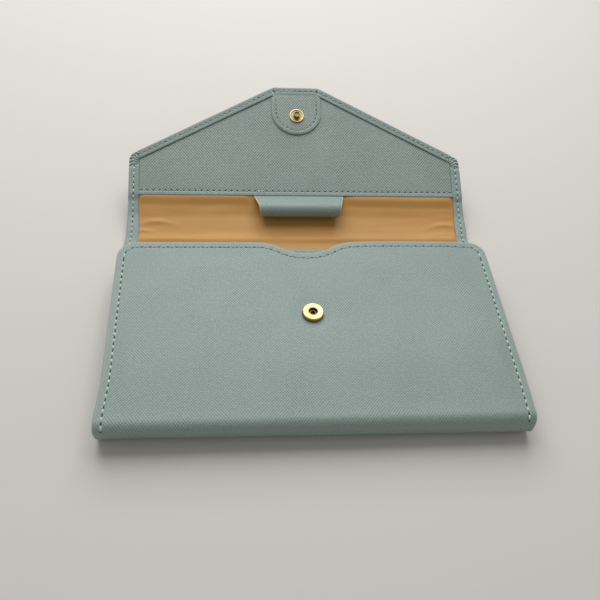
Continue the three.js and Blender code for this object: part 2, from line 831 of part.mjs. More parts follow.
// The domed cap on the flap's outer face, whose post runs through every layer into the stud.
function buildCap() {
  const profile = [];
  for (let step = 0; step <= arcSteps; step += 1) {
    const angle = (step / arcSteps) * (Math.PI / 2);
    profile.push([capRadius * Math.sin(angle), -layerGap - capHeight * Math.cos(angle)]);
  }
  profile.push([postRadius, -layerGap], [postRadius, studBase + studDish], [0, studBase + studDish]);
  place('snap_cap', turned(profile, [0, snapReach, 0]), paleGold, flapGroup, fromPivot);
}

// Pen loop: a strip folded on itself into a teardrop, sewn under the hem by its two ends

function teardrop(nose, root) {
  const lean = Math.acos((nose - root) / loopReach);
  const shape = new THREE.Shape();
  shape.absarc(-loopReach, 0, nose, lean, 2 * Math.PI - lean, false);
  shape.absarc(0, 0, root, -lean, lean, false);
  shape.closePath();
  return shape;
}

const loopRoot = loopLeather + layerGap / 2;

function buildPenLoop() {
  const half = loopRootWidth / 2;
  const noseHalf = loopNoseWidth / 2;
  const far = -loopReach - loopNoseRadius;
  const section = teardrop(loopNoseRadius, loopRoot);
  section.holes.push(teardrop(loopNoseRadius - loopLeather, loopRoot - loopLeather));
  const strip = roundedOutline([
    corner(-noseHalf, far),
    corner(noseHalf, far),
    corner(half, loopRoot),
    corner(-half, loopRoot),
  ]);
  const tapered = sheet(strip, -closedThickness, closedThickness);
  loopGroup.position.set(0, hemFromFold - loopSeamGap - loopRoot,
    liningLevel + satin + loopSeamGap + loopRoot - pivotLevel);
  loopGroup.rotation.x = THREE.MathUtils.degToRad(-loopRestAngle);
  place('pen_loop', across(section, -half, half).intersect(tapered), coverLeather, loopGroup);
}

buildBack();
buildCoinPocket();
buildSlider();
buildPull();
buildBottomFold();
buildFrontCover();
buildSlipPanel();
buildFrontLining();
buildCardSlots();
buildPassportPocket();
buildSocket();
buildRivet();
buildSpine();
buildFlapCover();
buildFlapLayers();
buildSnapPatch();
buildStud();
buildCap();
buildPenLoop();

export default wallet;
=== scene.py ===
import random
from math import acos, atan2, copysign, cos, exp, hypot, pi, radians, sin, sqrt, tan

import bmesh
import bpy
from mathutils import Matrix, Vector, noise


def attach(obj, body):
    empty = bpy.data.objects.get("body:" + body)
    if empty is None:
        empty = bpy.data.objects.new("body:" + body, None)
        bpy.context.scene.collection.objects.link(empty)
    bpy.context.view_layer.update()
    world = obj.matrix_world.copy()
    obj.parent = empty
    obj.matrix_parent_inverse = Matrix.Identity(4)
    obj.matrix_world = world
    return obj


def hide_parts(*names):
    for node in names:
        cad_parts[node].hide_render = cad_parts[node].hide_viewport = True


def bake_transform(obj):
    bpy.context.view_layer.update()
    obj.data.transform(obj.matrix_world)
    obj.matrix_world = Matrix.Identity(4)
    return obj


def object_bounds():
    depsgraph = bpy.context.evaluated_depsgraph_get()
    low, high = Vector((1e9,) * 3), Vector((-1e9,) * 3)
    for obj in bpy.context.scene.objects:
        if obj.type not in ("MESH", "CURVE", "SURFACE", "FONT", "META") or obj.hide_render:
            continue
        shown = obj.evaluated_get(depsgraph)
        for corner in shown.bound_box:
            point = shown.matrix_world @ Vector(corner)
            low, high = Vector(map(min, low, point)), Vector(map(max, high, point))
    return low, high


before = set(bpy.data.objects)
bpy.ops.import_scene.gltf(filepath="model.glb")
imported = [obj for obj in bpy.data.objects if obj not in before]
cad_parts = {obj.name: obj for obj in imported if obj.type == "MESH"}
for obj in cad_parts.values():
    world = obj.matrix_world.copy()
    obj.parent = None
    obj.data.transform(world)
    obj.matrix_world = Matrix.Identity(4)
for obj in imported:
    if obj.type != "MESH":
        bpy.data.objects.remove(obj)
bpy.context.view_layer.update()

mm = 0.001
random.seed(7)

# Sizes that every panel shares, in millimetres and degrees
wallet = {
    "halfWidth": 100.0,
    "halfFlap": 98.8,
    "foldY": -55.25,
    "foldRadius": 7.75,
    "lowerRound": 7.75,
    "upperRound": 4.8,
    "thickness": 15.5,
    "spineFold": 63.0,
    "flapFold": 82.0,
    "tilt": 12.0,
    "pivotLevel": 2.5,
    "bendReach": 3.0,
    "leather": 0.9,
    "skived": 0.6,
    "narrowsAt": 58.0,
    "narrowsOver": 9.0,
}
stripMiddle = wallet["foldY"] - wallet["foldRadius"] * pi / 2
spineMiddle = 72.5


# Small sums

def smooth(low, high, value):
    t = min(max((value - low) / (high - low), 0.0), 1.0)
    return t * t * (3 - 2 * t)


def lerp(a, b, t):
    return a + (b - a) * t


def hump(value, centre, width):
    return exp(-((value - centre) / width) ** 2)


def ripple(x, y, scale, seed):
    return noise.noise(Vector((x / scale, y / scale, seed)))


# Where a point of a panel lies: x across, s along the outer face from the back's middle, and its level

def chainTable():
    step, end = 0.25, 185
    rows = []
    y, z, lean = wallet["spineFold"] - 10, wallet["pivotLevel"], 0.0
    s = y
    reach = wallet["bendReach"]
    folds = (wallet["spineFold"], wallet["flapFold"])
    while s < end:
        rows.append((s, y, z, lean))
        mid = s + step / 2
        turns = [smooth(fold - reach, fold + reach, mid) for fold in folds]
        lean = radians(wallet["tilt"]) * sum(turns)
        y += step * cos(lean)
        z += step * sin(lean)
        s += step
    return step, rows


chainStep, chainRows = chainTable()


# A quarter of the bottom fold from its flat face to its middle: y, and how far below or above that face
def foldPoint(s, level, radius):
    radius = max(radius, min(level + 0.5, wallet["foldRadius"]))
    quarter = wallet["foldRadius"] * pi / 2
    flat = wallet["foldRadius"] - radius
    arc = radius * pi / 2
    run = (wallet["foldY"] - s) / quarter * (2 * flat + arc)
    if run < flat:
        return wallet["foldY"] - run, level
    if run < flat + arc:
        angle = (run - flat) / radius
        inner = radius - level
        return wallet["foldY"] - flat - inner * sin(angle), radius - inner * cos(angle)
    return wallet["foldY"] - wallet["foldRadius"] + level, radius + run - flat - arc


# The wallet has settled with use: its foot spreads to the left, the fold is thinner at the left, and the
# spine is drawn in at the right, and the front's edge lifts a little to the right of the notch.
settled = {"spread": 0.95, "spreadSlope": 0.45, "thin": 0.35, "thinSlope": 1.15, "spine": 0.9,
           "spineAt": 63.5, "lift": 1.1}


def settle(x, y, z):
    side = x / wallet["halfWidth"]
    if y < wallet["foldY"]:
        share = smooth(-13.5, -4.0, -z) * (wallet["foldY"] - y) / wallet["foldRadius"]
        y += (settled["thin"] - settled["thinSlope"] * side) * share
    x -= (settled["spread"] - settled["spreadSlope"] * side) * smooth(35, 60, -y)
    x -= settled["spine"] * hump(y, settled["spineAt"], 4.5) * smooth(60, 100, x)
    return (x, y, z)


def chainPlace(x, s, level):
    if s < wallet["foldY"]:
        y, z = foldPoint(s, level, wallet["lowerRound"])
        return settle(x, y, z)
    if s <= chainRows[0][0]:
        return settle(x, s, level)
    at = (s - chainRows[0][0]) / chainStep
    low = min(int(at), len(chainRows) - 2)
    a, b = chainRows[low], chainRows[low + 1]
    part = at - low
    y, z, lean = (lerp(a[i], b[i], part) for i in (1, 2, 3))
    height = level - wallet["pivotLevel"]
    return settle(x, y - height * sin(lean), z + height * cos(lean))


# The front panel's own s is its y, and its level counts down from its outer face.
def frontPlace(x, s, level):
    if s < wallet["foldY"]:
        y, depth = foldPoint(s, level, wallet["upperRound"])
        return settle(x, y, wallet["thickness"] - depth)
    lift = settled["lift"] * smooth(14, 50, s) * smooth(12, 42, x) * (1 - smooth(72, 97, x))
    lift *= 1 - smooth(1.3, 2.2, level)
    return settle(x, s, wallet["thickness"] - level + lift)


def addObject(name, data):
    made = bpy.data.objects.new(name, data)
    bpy.context.scene.collection.objects.link(made)
    return made


# Camera

cameraSet = {
    "place": (-0.0429797, -0.2137723, 0.2862617),
    "turn": -0.165095,
    "tip": 0.695133,
    "roll": 0.120557,
    "lens": 41.614,
    "sensor": 36.0,
}


def makeCamera():
    data = bpy.data.cameras.new("photoCamera")
    data.lens = cameraSet["lens"]
    data.sensor_width = cameraSet["sensor"]
    data.clip_start = 0.01
    data.clip_end = 20
    camera = addObject("photoCamera", data)
    pose = Matrix.Translation(cameraSet["place"])
    for key, axis in (("turn", "Z"), ("tip", "X"), ("roll", "Z")):
        pose = pose @ Matrix.Rotation(cameraSet[key], 4, axis)
    camera.matrix_world = pose
    bpy.context.scene.camera = camera


makeCamera()
print("camera set")


# Materials

def srgb(red, green, blue):
    def linear(value):
        part = value / 255
        return part / 12.92 if part <= 0.04045 else ((part + 0.055) / 1.055) ** 2.4
    return (linear(red), linear(green), linear(blue), 1.0)


def maths(operation, swapped=False):
    def apply(self, other=0.0):
        first, second = (other, self) if swapped else (self, other)
        return self.shader.node("Math", {"operation": operation}, {0: first, 1: second})
    return apply


class Link:
    # One output of a node; sums on it add Math nodes.
    def __init__(self, shader, socket):
        self.shader = shader
        self.socket = socket

    __add__ = maths("ADD")
    __radd__ = maths("ADD", True)
    __sub__ = maths("SUBTRACT")
    __rsub__ = maths("SUBTRACT", True)
    __mul__ = maths("MULTIPLY")
    __rmul__ = maths("MULTIPLY", True)
    __pow__ = maths("POWER")
    sine = maths("SINE")
    highest = maths("MAXIMUM")
    lowest = maths("MINIMUM")


class Shader:
    def __init__(self, name):
        self.material = bpy.data.materials.new(name)
        self.material.use_nodes = True
        self.tree = self.material.node_tree
        self.tree.nodes.clear()

    def node(self, kind, settings=None, inputs=None, output=0):
        made = self.tree.nodes.new("ShaderNode" + kind)
        for key, value in (settings or {}).items():
            if key == "stops":
                ramp = made.color_ramp.elements
                ramp[0].position, ramp[0].color = value[0]
                ramp[1].position, ramp[1].color = value[-1]
                for position, color in value[1:-1]:
                    ramp.new(position).color = color
            else:
                setattr(made, key, value)
        for key, value in (inputs or {}).items():
            if isinstance(value, Link):
                self.tree.links.new(value.socket, made.inputs[key])
            else:
                made.inputs[key].default_value = value
        return Link(self, made.outputs[output])

    # The panel's own flat coordinates, in millimetres
    def flat(self):
        uv = self.node("UVMap", {"uv_map": "flat"})
        across = self.node("SeparateXYZ", None, {0: uv})
        along = Link(self, across.socket.node.outputs[1])
        return uv, across, along

    # Per-vertex edge wear together with painted shade and painted highlights.
    def wear(self):
        return self.node("Attribute", {"attribute_name": "wear"}, None, 2)

    def cloud(self, vector, scale, detail=2.0, stretch=(1, 1, 1)):
        sizes = tuple(scale * part for part in stretch)
        moved = self.node("Mapping", None, {"Vector": vector, "Scale": sizes})
        return self.node("TexNoise", None, {"Vector": moved, "Scale": 1.0, "Detail": detail})

    # A cloud in the piece's own space
    def solidCloud(self, scale, detail):
        place = self.node("TexCoord", None, None, 3)
        return self.node("TexNoise", None, {"Vector": place, "Scale": scale, "Detail": detail})

    def blendColors(self, factor, first, second):
        return self.node("Mix", {"data_type": "RGBA"}, {0: factor, 6: first, 7: second}, 2)

    def between(self, low, high, value):
        return self.node("MapRange", {"interpolation_type": "SMOOTHSTEP"},
                         {"Value": value, "From Min": low, "From Max": high})

    def bump(self, height, strength, distance):
        return self.node("Bump", None, {"Height": height, "Strength": strength, "Distance": distance})

    def finish(self, inputs):
        surface = self.node("BsdfPrincipled", None, inputs)
        out = self.tree.nodes.new("ShaderNodeOutputMaterial")
        self.tree.links.new(surface.socket, out.inputs[0])
        return self.material


grain = {
    "lean": 50.0,
    "waver": 1.1,
    "narrow": 1.6,
    "patch": 0.028,
    "height": 0.00011,
    "strength": 0.8,
}


def crossHatch(shader, uv, across, along, pitch):
    waver = shader.cloud(uv, 0.35, 1.0) * grain["waver"]
    turn = 2 * pi / pitch
    lean = radians(grain["lean"])
    right = across * (turn * sin(lean)) + along * (turn * cos(lean))
    left = across * (turn * sin(lean)) - along * (turn * cos(lean))
    patches = shader.between(0.35, 0.65, shader.cloud(uv, grain["patch"], 1.0))
    broken = 0.64 + 0.36 * shader.between(0.35, 0.6, shader.cloud(uv, 0.75, 1.0))
    first = 1.0 - ((right + waver).sine() * 0.5 + 0.5) ** grain["narrow"] * (0.4 + 0.6 * patches) * broken
    second = 1.0 - ((left - waver).sine() * 0.5 + 0.5) ** grain["narrow"] * (1.0 - 0.6 * patches) * broken
    return first.lowest(second)


# The wear attribute above nothing lightens worn edges and paints highlights on the pleats' crests; below
# nothing it paints shade into creases, pleats, the socket's hole, the hem's lower edge and along the turned
# strips' cut edges.
def grainedLeather(name, pitch, color, light, dark, deep, rough):
    shader = Shader(name)
    uv, across, along = shader.flat()
    hatch = crossHatch(shader, uv, across, along, pitch)
    tone = shader.cloud(uv, 0.022, 3.0)
    fine = shader.cloud(uv, 2.6, 2.0)
    wear = shader.wear()
    ground = shader.blendColors(shader.between(0.35, 0.68, tone), dark, color)
    groove = shader.blendColors(hatch, deep, ground)
    lit = shader.blendColors(shader.between(0.75, 1.0, hatch) * 0.3, groove, light)
    # Lighter where worn, with painted highlight on the pleats' crests.
    worn = shader.blendColors(wear.highest(0.0) * (0.2 + 0.5 * fine), lit, light)
    # Painted shade: below nothing the leather is blended towards a dark green-grey.
    shaded = shader.blendColors((wear * -1.0).highest(0.0), worn, srgb(58, 67, 62))
    height = hatch + fine * 0.35
    return shader.finish({
        "Base Color": shaded,
        "Roughness": rough + 0.1 * tone - 0.06 * hatch,
        "Normal": shader.bump(height, grain["strength"], grain["height"]),
        "Specular IOR Level": 0.42,
    })


satin = {
    "color": srgb(209, 158, 88),
    "deep": srgb(196, 144, 76),
    "rough": 0.42,
}


def satinCloth():
    shader = Shader("satinCloth")
    uv, across, along = shader.flat()
    streak = shader.cloud(uv, 0.06, 3.0, (0.25, 1, 1))
    thread = (across * (2 * pi / 0.5)).sine() * (along * (2 * pi / 0.35)).sine()
    color = shader.blendColors(shader.between(0.3, 0.7, streak), satin["deep"], satin["color"])
    return shader.finish({
        "Base Color": color,
        "Roughness": satin["rough"] + 0.12 * streak,
        "Normal": shader.bump(thread + shader.cloud(uv, 0.9, 2.0), 0.25, 0.00004),
        "Specular IOR Level": 0.3,
    })


def paleGold(name, color, rough):
    shader = Shader(name)
    smear = shader.solidCloud(900.0, 3.0)
    broad = shader.solidCloud(160.0, 2.0)
    tint = shader.blendColors(shader.between(0.3, 0.7, broad), color, srgb(246, 228, 176))
    # Painted shade: the vertex attribute darkens the gold towards deep brown and roughens it in the snaps'
    # hollows and on the socket's outer wall.
    return shader.finish({
        "Base Color": shader.blendColors(shader.wear(), tint, srgb(70, 52, 26)),
        "Metallic": 1.0,
        "Roughness": rough + 0.1 * smear + 0.25 * shader.wear(),
        "Normal": shader.bump(smear, 0.05, 0.00001),
    })


def sewingThread():
    shader = Shader("sewingThread")
    _, across, along = shader.flat()
    twist = (across * 9.0 + along * 14.0).sine() * 0.5 + 0.5
    # Painted highlight: the vertex attribute blends each stitch from a shaded copy of the thread colour to a
    # lit copy.
    shadedThread = shader.blendColors(twist, srgb(146, 160, 154), srgb(176, 190, 184))
    highlitThread = shader.blendColors(twist, srgb(196, 208, 202), srgb(232, 240, 235))
    return shader.finish({
        "Base Color": shader.blendColors(shader.wear(), shadedThread, highlitThread),
        "Roughness": 0.62,
        "Normal": shader.bump(twist, 0.6, 0.00005),
        "Sheen Weight": 0.2,
    })


def plainStuff(name, color, dark, rough, scale, height=0.00005):
    shader = Shader(name)
    speck = shader.solidCloud(scale, 4.0)
    return shader.finish({
        "Base Color": shader.blendColors(shader.between(0.3, 0.7, speck), dark, color),
        "Roughness": rough + 0.1 * speck,
        "Normal": shader.bump(speck, 0.4, height),
    })


def clearFilm():
    shader = Shader("windowFilm")
    haze = shader.solidCloud(60.0, 2.0)
    return shader.finish({
        "Base Color": srgb(232, 238, 238),
        "Roughness": 0.1 + 0.08 * haze,
        "Alpha": 0.24 + 0.08 * haze,
        "Normal": shader.bump(haze, 0.1, 0.00002),
    })


def zipCloth():
    shader = Shader("zipCloth")
    _, across, along = shader.flat()
    weave = ((across - along) * 7.0).sine() * 0.5 + 0.5
    return shader.finish({
        "Base Color": shader.blendColors(weave, srgb(150, 116, 78), srgb(178, 140, 96)),
        "Roughness": 0.8,
        "Normal": shader.bump(weave, 0.6, 0.00008),
    })


coverLeather = grainedLeather("coverLeather", 1.08, srgb(158, 176, 170), srgb(190, 205, 199),
                              srgb(151, 169, 163), srgb(122, 139, 133), 0.48)
pocketLeather = grainedLeather("pocketLeather", 1.22, srgb(168, 183, 177), srgb(210, 221, 215),
                               srgb(158, 173, 167), srgb(102, 117, 111), 0.52)
satinLining = satinCloth()
snapGold = paleGold("snapGold", srgb(226, 196, 124), 0.44)
zipGold = paleGold("zipGold", srgb(226, 204, 152), 0.24)
thread = sewingThread()
# Painted shade: a dark material for the needle holes, standing for the shade inside them.
holeShade = plainStuff("holeShade", srgb(70, 80, 75), srgb(48, 56, 52), 0.85, 900)
cutEdge = plainStuff("cutEdge", srgb(224, 205, 168), srgb(196, 174, 134), 0.75, 700, 0.0001)
greyBoard = plainStuff("greyBoard", srgb(150, 146, 136), srgb(132, 128, 118), 0.85, 500)
windowFilm = clearFilm()
zipTape = zipCloth()
print("materials made")


# Meshes

class Skin:
    # Vertices with flat coordinates and a per-vertex value of wear, painted shade and painted highlight, and
    # the faces between them
    def __init__(self):
        self.points = []
        self.flats = []
        self.wearsAndPaintedLight = []
        self.faces = []
        self.slots = []

    def add(self, point, flat, wear=0.0):
        self.points.append(tuple(part * mm for part in point))
        self.flats.append(flat)
        self.wearsAndPaintedLight.append(wear)
        return len(self.points) - 1

    def put(self, place, x, s, level, wear=0.0):
        return self.add(place(x, s, level), (x, s), wear)

    def face(self, corners, slot=0):
        self.faces.append(tuple(corners))
        self.slots.append(slot)

    def quads(self, rows, closed=False, slot=0):
        for low, high in zip(rows, rows[1:]):
            count = len(low)
            for i in range(count if closed else count - 1):
                j = (i + 1) % count
                self.face((low[i], low[j], high[j], high[i]), slot)

    def build(self, name, materials, sharp=38.0, fillHoles=False, weld=True):
        mesh = bpy.data.meshes.new(name)
        mesh.from_pydata(self.points, [], self.faces)
        flat = mesh.uv_layers.new(name="flat")
        for loop in mesh.loops:
            flat.data[loop.index].uv = self.flats[loop.vertex_index]
        # The attribute holds edge wear together with painted shade and painted highlights.
        wear = mesh.attributes.new("wear", "FLOAT", "POINT")
        for index, value in enumerate(self.wearsAndPaintedLight):
            wear.data[index].value = value
        for material in materials:
            mesh.materials.append(material)
        for polygon, slot in zip(mesh.polygons, self.slots):
            polygon.material_index = slot
        work = bmesh.new()
        work.from_mesh(mesh)
        if weld:
            bmesh.ops.remove_doubles(work, verts=work.verts, dist=2e-6)
            bmesh.ops.dissolve_degenerate(work, edges=work.edges, dist=1e-6)
        if fillHoles:
            rim = [edge for edge in work.edges if edge.is_boundary]
            bmesh.ops.holes_fill(work, edges=rim, sides=0)
        bmesh.ops.recalc_face_normals(work, faces=work.faces)
        work.to_mesh(mesh)
        work.free()
        for polygon in mesh.polygons:
            polygon.use_smooth = True
        mesh.set_sharp_from_angle(angle=radians(sharp))
        return addObject(name, mesh)

    # hold is the body that the piece rides on, or one of the bends.
    def finish(self, name, materials, slot, hold, *nodes, **how):
        piece = self.build(name, materials, **how)
        if nodes:
            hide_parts(*nodes)
        if hold in bends:
            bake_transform(piece)
        else:
            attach(piece, hold)
        return piece

    def finishStitches(self, name, slot, hold):
        self.finish(name, [thread, holeShade], slot, hold, weld=False)


# Outlines: an open path from the left side's foot, over the top, to the right side's foot.
# Each corner keeps its number of points at every inset, so that the loops can be joined.

def pathLoop(corners, widths, spread, inset):
    count = len(corners)
    lines = []
    for i in range(count - 1):
        (ax, ay, _), (bx, by, _) = corners[i], corners[i + 1]
        length = hypot(bx - ax, by - ay)
        run = ((bx - ax) / length, (by - ay) / length)
        side = (run[1], -run[0])
        depth = inset * widths[i]
        lines.append((ax + side[0] * depth, ay + side[1] * depth, run, side))
    places = []
    for i, (x, y, radius) in enumerate(corners):
        if i in (0, count - 1):
            px, py, run, _ = lines[0 if i == 0 else -1]
            places.append(((px + run[0] * (y - py) / run[1], y), 0.0, None))
            continue
        px, py, before, _ = lines[i - 1]
        qx, qy, after, _ = lines[i]
        cross = before[0] * after[1] - before[1] * after[0]
        t = ((qx - px) * after[1] - (qy - py) * after[0]) / cross
        turn = atan2(-cross, before[0] * after[0] + before[1] * after[1])
        left = max(radius - inset, 0.75 * (inset - 6.0), 0.0) if inset > 0 else radius - inset
        places.append(((px + before[0] * t, py + before[1] * t), left, turn))
    points = []
    for i, ((x, y), radius, turn) in enumerate(places):
        if turn is None:
            here = [(x, y)]
        else:
            before, side = lines[i - 1][2], lines[i - 1][3]
            reach = radius * tan(turn / 2)
            sx, sy = x - before[0] * reach, y - before[1] * reach
            cx, cy = sx + side[0] * radius, sy + side[1] * radius
            here = []
            for k in range(spread["arc"] + 1):
                angle = -turn * k / spread["arc"]
                c, s = cos(angle), sin(angle)
                ox, oy = sx - cx, sy - cy
                here.append((cx + ox * c - oy * s, cy + ox * s + oy * c))
        if points:
            ax, ay = points[-1]
            bx, by = here[0]
            for part in spread["edges"][i - 1]:
                points.append((lerp(ax, bx, part), lerp(ay, by, part)))
        points.extend(here)
    return points


# Parts of an edge: close together within 8 mm of a corner, and a step apart elsewhere
def partsOf(length, step, near, closeStart, closeEnd):
    parts = []
    at = 0.0
    while at < length - step * 0.4:
        fine = (closeStart and at < near) or (closeEnd and at > length - near)
        at += step * 0.35 if fine else step
        if at < length - step * 0.2:
            parts.append(at / length)
    return parts


def coons(left, top, right, bottom):
    rows, columns = len(left) - 1, len(top) - 1
    grid = []
    for j in range(rows + 1):
        v = j / rows
        row = []
        for i in range(columns + 1):
            u = i / columns
            point = []
            for axis in (0, 1):
                sides = lerp(left[j][axis], right[j][axis], u)
                ends = lerp(bottom[i][axis], top[i][axis], v)
                low = lerp(bottom[0][axis], bottom[-1][axis], u)
                high = lerp(top[0][axis], top[-1][axis], u)
                point.append(sides + ends - lerp(low, high, v))
            row.append(tuple(point))
        grid.append(row)
    return grid


# How far a point on a rounded edge lies below the face that it curves from
def roundOff(inset, radius):
    if inset >= radius:
        return 0.0
    return radius - sqrt(max(radius * radius - (radius - inset) ** 2, 0.0))


faceInsets = [12.0, 9.0, 7.2, 6.0, 5.2, 4.6, 4.2, 3.9, 3.6, 3.3, 3.0, 2.7, 2.4, 2.0, 1.6, 1.25, 0.95,
              0.7, 0.5, 0.33, 0.2, 0.1, 0.03, 0.0]


# The section of an edge that is turned in: outer face, wall, turned strip, cut end, and the skin inside.
# Each row is (inset, kind, part), and sectionLevel turns it into a level.
def turnedSection(width, reach=12.0):
    rows = [(inset, "outer", 0.0) for inset in faceInsets if inset <= reach]
    rows += [(0.0, "wall", part) for part in (0.2, 0.4, 0.6, 0.8)]
    rows += [(inset, "strip", 0.0) for inset in reversed(faceInsets) if inset < width - 0.15]
    cutEnd = ((0.1, 0.12), (0.0, 0.35), (0.0, 0.8), (0.12, 1.0))
    rows += [(width - back, "cut", part) for back, part in cutEnd]
    rows += [(inset, "under", 0.0) for inset in (4.0, 2.0, 1.1)]
    rows += [(0.9, "liningWall", 0.5), (1.1, "inside", 0.0), (3.0, "inside", 0.0), (reach, "inside", 0.0)]
    return rows


def sectionLevel(kind, inset, part, top, edgeRadius):
    radius = min(edgeRadius, top / 2)
    if kind == "outer":
        return roundOff(inset, radius)
    if kind == "wall":
        return lerp(radius, top - radius, part)
    if kind == "strip":
        return top - roundOff(inset, radius)
    if kind == "cut":
        return top - wallet["skived"] * part
    if kind == "under":
        return top - wallet["skived"] - (0.1 if inset < 1.5 else 0.0)
    if kind == "liningWall":
        return lerp(wallet["leather"], top - wallet["skived"], 0.5)
    return wallet["leather"]


sewn = {
    "groove": 0.13,
    "grooveWidth": 0.62,
    "pillow": 0.07,
}


# Leather drawn in along a row of stitches, most of all at the holes
def drawnIn(inset, line, travel, pitch):
    pull = 0.85 + 0.15 * cos(2 * pi * travel / pitch)
    groove = sewn["groove"] * pull * hump(inset, line, sewn["grooveWidth"])
    pillow = sewn["pillow"] * hump(inset, line * 0.48, line * 0.3)
    return groove - pillow


def travelled(points):
    total = [0.0]
    for a, b in zip(points, points[1:]):
        total.append(total[-1] + hypot(b[0] - a[0], b[1] - a[1]))
    return total


# The turned strip is a little wider where it crosses the spine.
def strayIn(kind, inset, s):
    if kind not in ("strip", "cut", "under") or s > 88:
        return 0.0
    return 0.9 * smooth(40, 60, s) * (1 - smooth(70, 88, s)) * smooth(3.6, 6.0, inset)


# A cover whose edge is turned in along its sides and top, open at its foot, where it meets its neighbour.
def turnedCover(skin, loopOf, rows, counts, place, levelAt):
    insets = sorted({row[0] for row in rows})
    loops = {inset: loopOf(inset) for inset in insets}
    outline = loops[0.0]
    travel = travelled(outline)
    sides = []
    for (ax, ay), (bx, by) in zip(outline, loops[insets[1]]):
        length = hypot(ax - bx, ay - by) or 1.0
        sides.append(((ax - bx) / length, (ay - by) / length))
    bands = []
    for inset, kind, part in rows:
        band = []
        for k, (x, s) in enumerate(loops[inset]):
            level, wear = levelAt(kind, inset, part, x, s, outline[k], travel[k])
            nx, ny = sides[k]
            flat = (x + nx * level, s + ny * level)
            inner = x - nx * strayIn(kind, inset, s)
            band.append(skin.add(place(inner, s, level), flat, wear))
        bands.append(band)
    skin.quads(bands)
    left, top = counts
    for (inset, kind, _), band in ((rows[0], bands[0]), (rows[-1], bands[-1])):
        loop = loops[inset]
        foot = [(lerp(loop[0][0], loop[-1][0], i / top), loop[0][1]) for i in range(top + 1)]
        grid = coons(loop[:left + 1], loop[left:left + top + 1], loop[left + top:][::-1], foot)
        bandL, bandTop, bandR = band[:left + 1], band[left:left + top + 1], band[left + top:][::-1]
        lines = []
        for j, row in enumerate(grid):
            line = []
            for i, (x, s) in enumerate(row):
                if i == 0:
                    line.append(bandL[j])
                elif i == top:
                    line.append(bandR[j])
                elif j == len(grid) - 1:
                    line.append(bandTop[i])
                else:
                    level, wear = levelAt(kind, inset, 0.0, x, s, None, 0.0)
                    line.append(skin.put(place, x, s, level, wear))
            lines.append(line)
        skin.quads(lines)


# How many parts such a cover's loops have up to its left corner's middle, and from there over its top
def footAndHead(spread, sideEdges):
    arc = spread["arc"]
    left = sum(len(parts) + 1 for parts in spread["edges"][:sideEdges]) + arc * (sideEdges - 1) + arc // 2
    return left, len(spread["edges"][sideEdges]) + 1 + arc


def mirrored(parts):
    return [1 - part for part in reversed(parts)]


# A band with both sides turned in, lofted along s between two open ends
def turnedBand(skin, rows, stops, columns):
    lines = []
    travel = 0.0
    before = stops[0]
    for s in stops:
        half = bodyHalf(s)
        reach = half - rows[0][0]
        travel += abs(s - before)
        before = s
        line = []
        for side, turned, flat, order in ((-1, rows[::-1], "outer", range(1, columns)),
                                          (1, rows, "inside", range(columns - 1, 0, -1))):
            for inset, kind, part in turned:
                x = side * (half - inset)
                level, wear = chainLevel(kind, inset, part, x, s, (side * half, s), travel)
                inner = x - side * strayIn(kind, inset, s)
                line.append(skin.add(chainPlace(inner, s, level), (x + side * level, s), wear))
            for i in order:
                x = lerp(-reach, reach, i / columns)
                level, wear = chainLevel(flat, 12.0, 0.0, x, s, None, 0.0)
                line.append(skin.put(chainPlace, x, s, level, wear))
        lines.append(line)
    skin.quads(lines, closed=True)


# A thin panel with rounded edges all round, over a grid of (x, s) points
# rim is the value given to the rounded edge's vertices: above nothing it lightens them as worn, below
# nothing it paints shade on them.
def thinPanel(skin, grid, place, low, high, edge, butt=None, rim=0.35):
    steps = 4
    rows, columns = len(grid), len(grid[0])
    ring = [(0, i) for i in range(columns)] + [(j, columns - 1) for j in range(1, rows)]
    ring += [(rows - 1, i) for i in range(columns - 2, -1, -1)] + [(j, 0) for j in range(rows - 2, 0, -1)]
    middle = [sum(p[axis] for row in grid for p in row) / (rows * columns) for axis in (0, 1)]
    count = len(ring)
    flats = [grid[j][i] for j, i in ring]
    outs = []
    for k in range(count):
        (ax, ay), (bx, by) = flats[k - 1], flats[(k + 1) % count]
        length = hypot(bx - ax, by - ay) or 1.0
        outs.append(((by - ay) / length, -(bx - ax) / length))
    away = sum(o[0] * (f[0] - middle[0]) + o[1] * (f[1] - middle[1]) for o, f in zip(outs, flats))
    if away < 0:
        outs = [(-o[0], -o[1]) for o in outs]
    faces = []
    for levelOf in (low, high):
        lines = [[skin.put(place, x, s, levelOf(x, s)) for x, s in row] for row in grid]
        skin.quads(lines)
        faces.append([lines[j][i] for j, i in ring])
    bands = [faces[1]]
    for step in range(1, steps):
        angle = pi * step / steps
        band = []
        for (x, s), (nx, ny) in zip(flats, outs):
            out = 0.0 if s == butt else edge * sin(angle)
            level = lerp(high(x, s), low(x, s), (1 - cos(angle)) / 2)
            band.append(skin.put(place, x + nx * out, s + ny * out, level, rim))
        bands.append(band)
    bands.append(faces[0])
    skin.quads(bands, closed=True)


def rectGrid(left, bottom, right, top, step, corner=0.0):
    columns = max(int((right - left) / step), 2)
    rows = max(int((top - bottom) / step), 2)
    grid = []
    for j in range(rows + 1):
        s = lerp(bottom, top, j / rows)
        drop = min(s - bottom, top - s)
        pull = roundOff(drop, corner) if drop < corner else 0.0
        grid.append([(lerp(left + pull, right - pull, i / columns), s) for i in range(columns + 1)])
    return grid


# Stitches

stitch = {
    "radius": 0.33,
    "proud": 0.24,
    "slant": 5.0,
    "rings": 7,
    "sides": 6,
    "hole": 0.62,
}


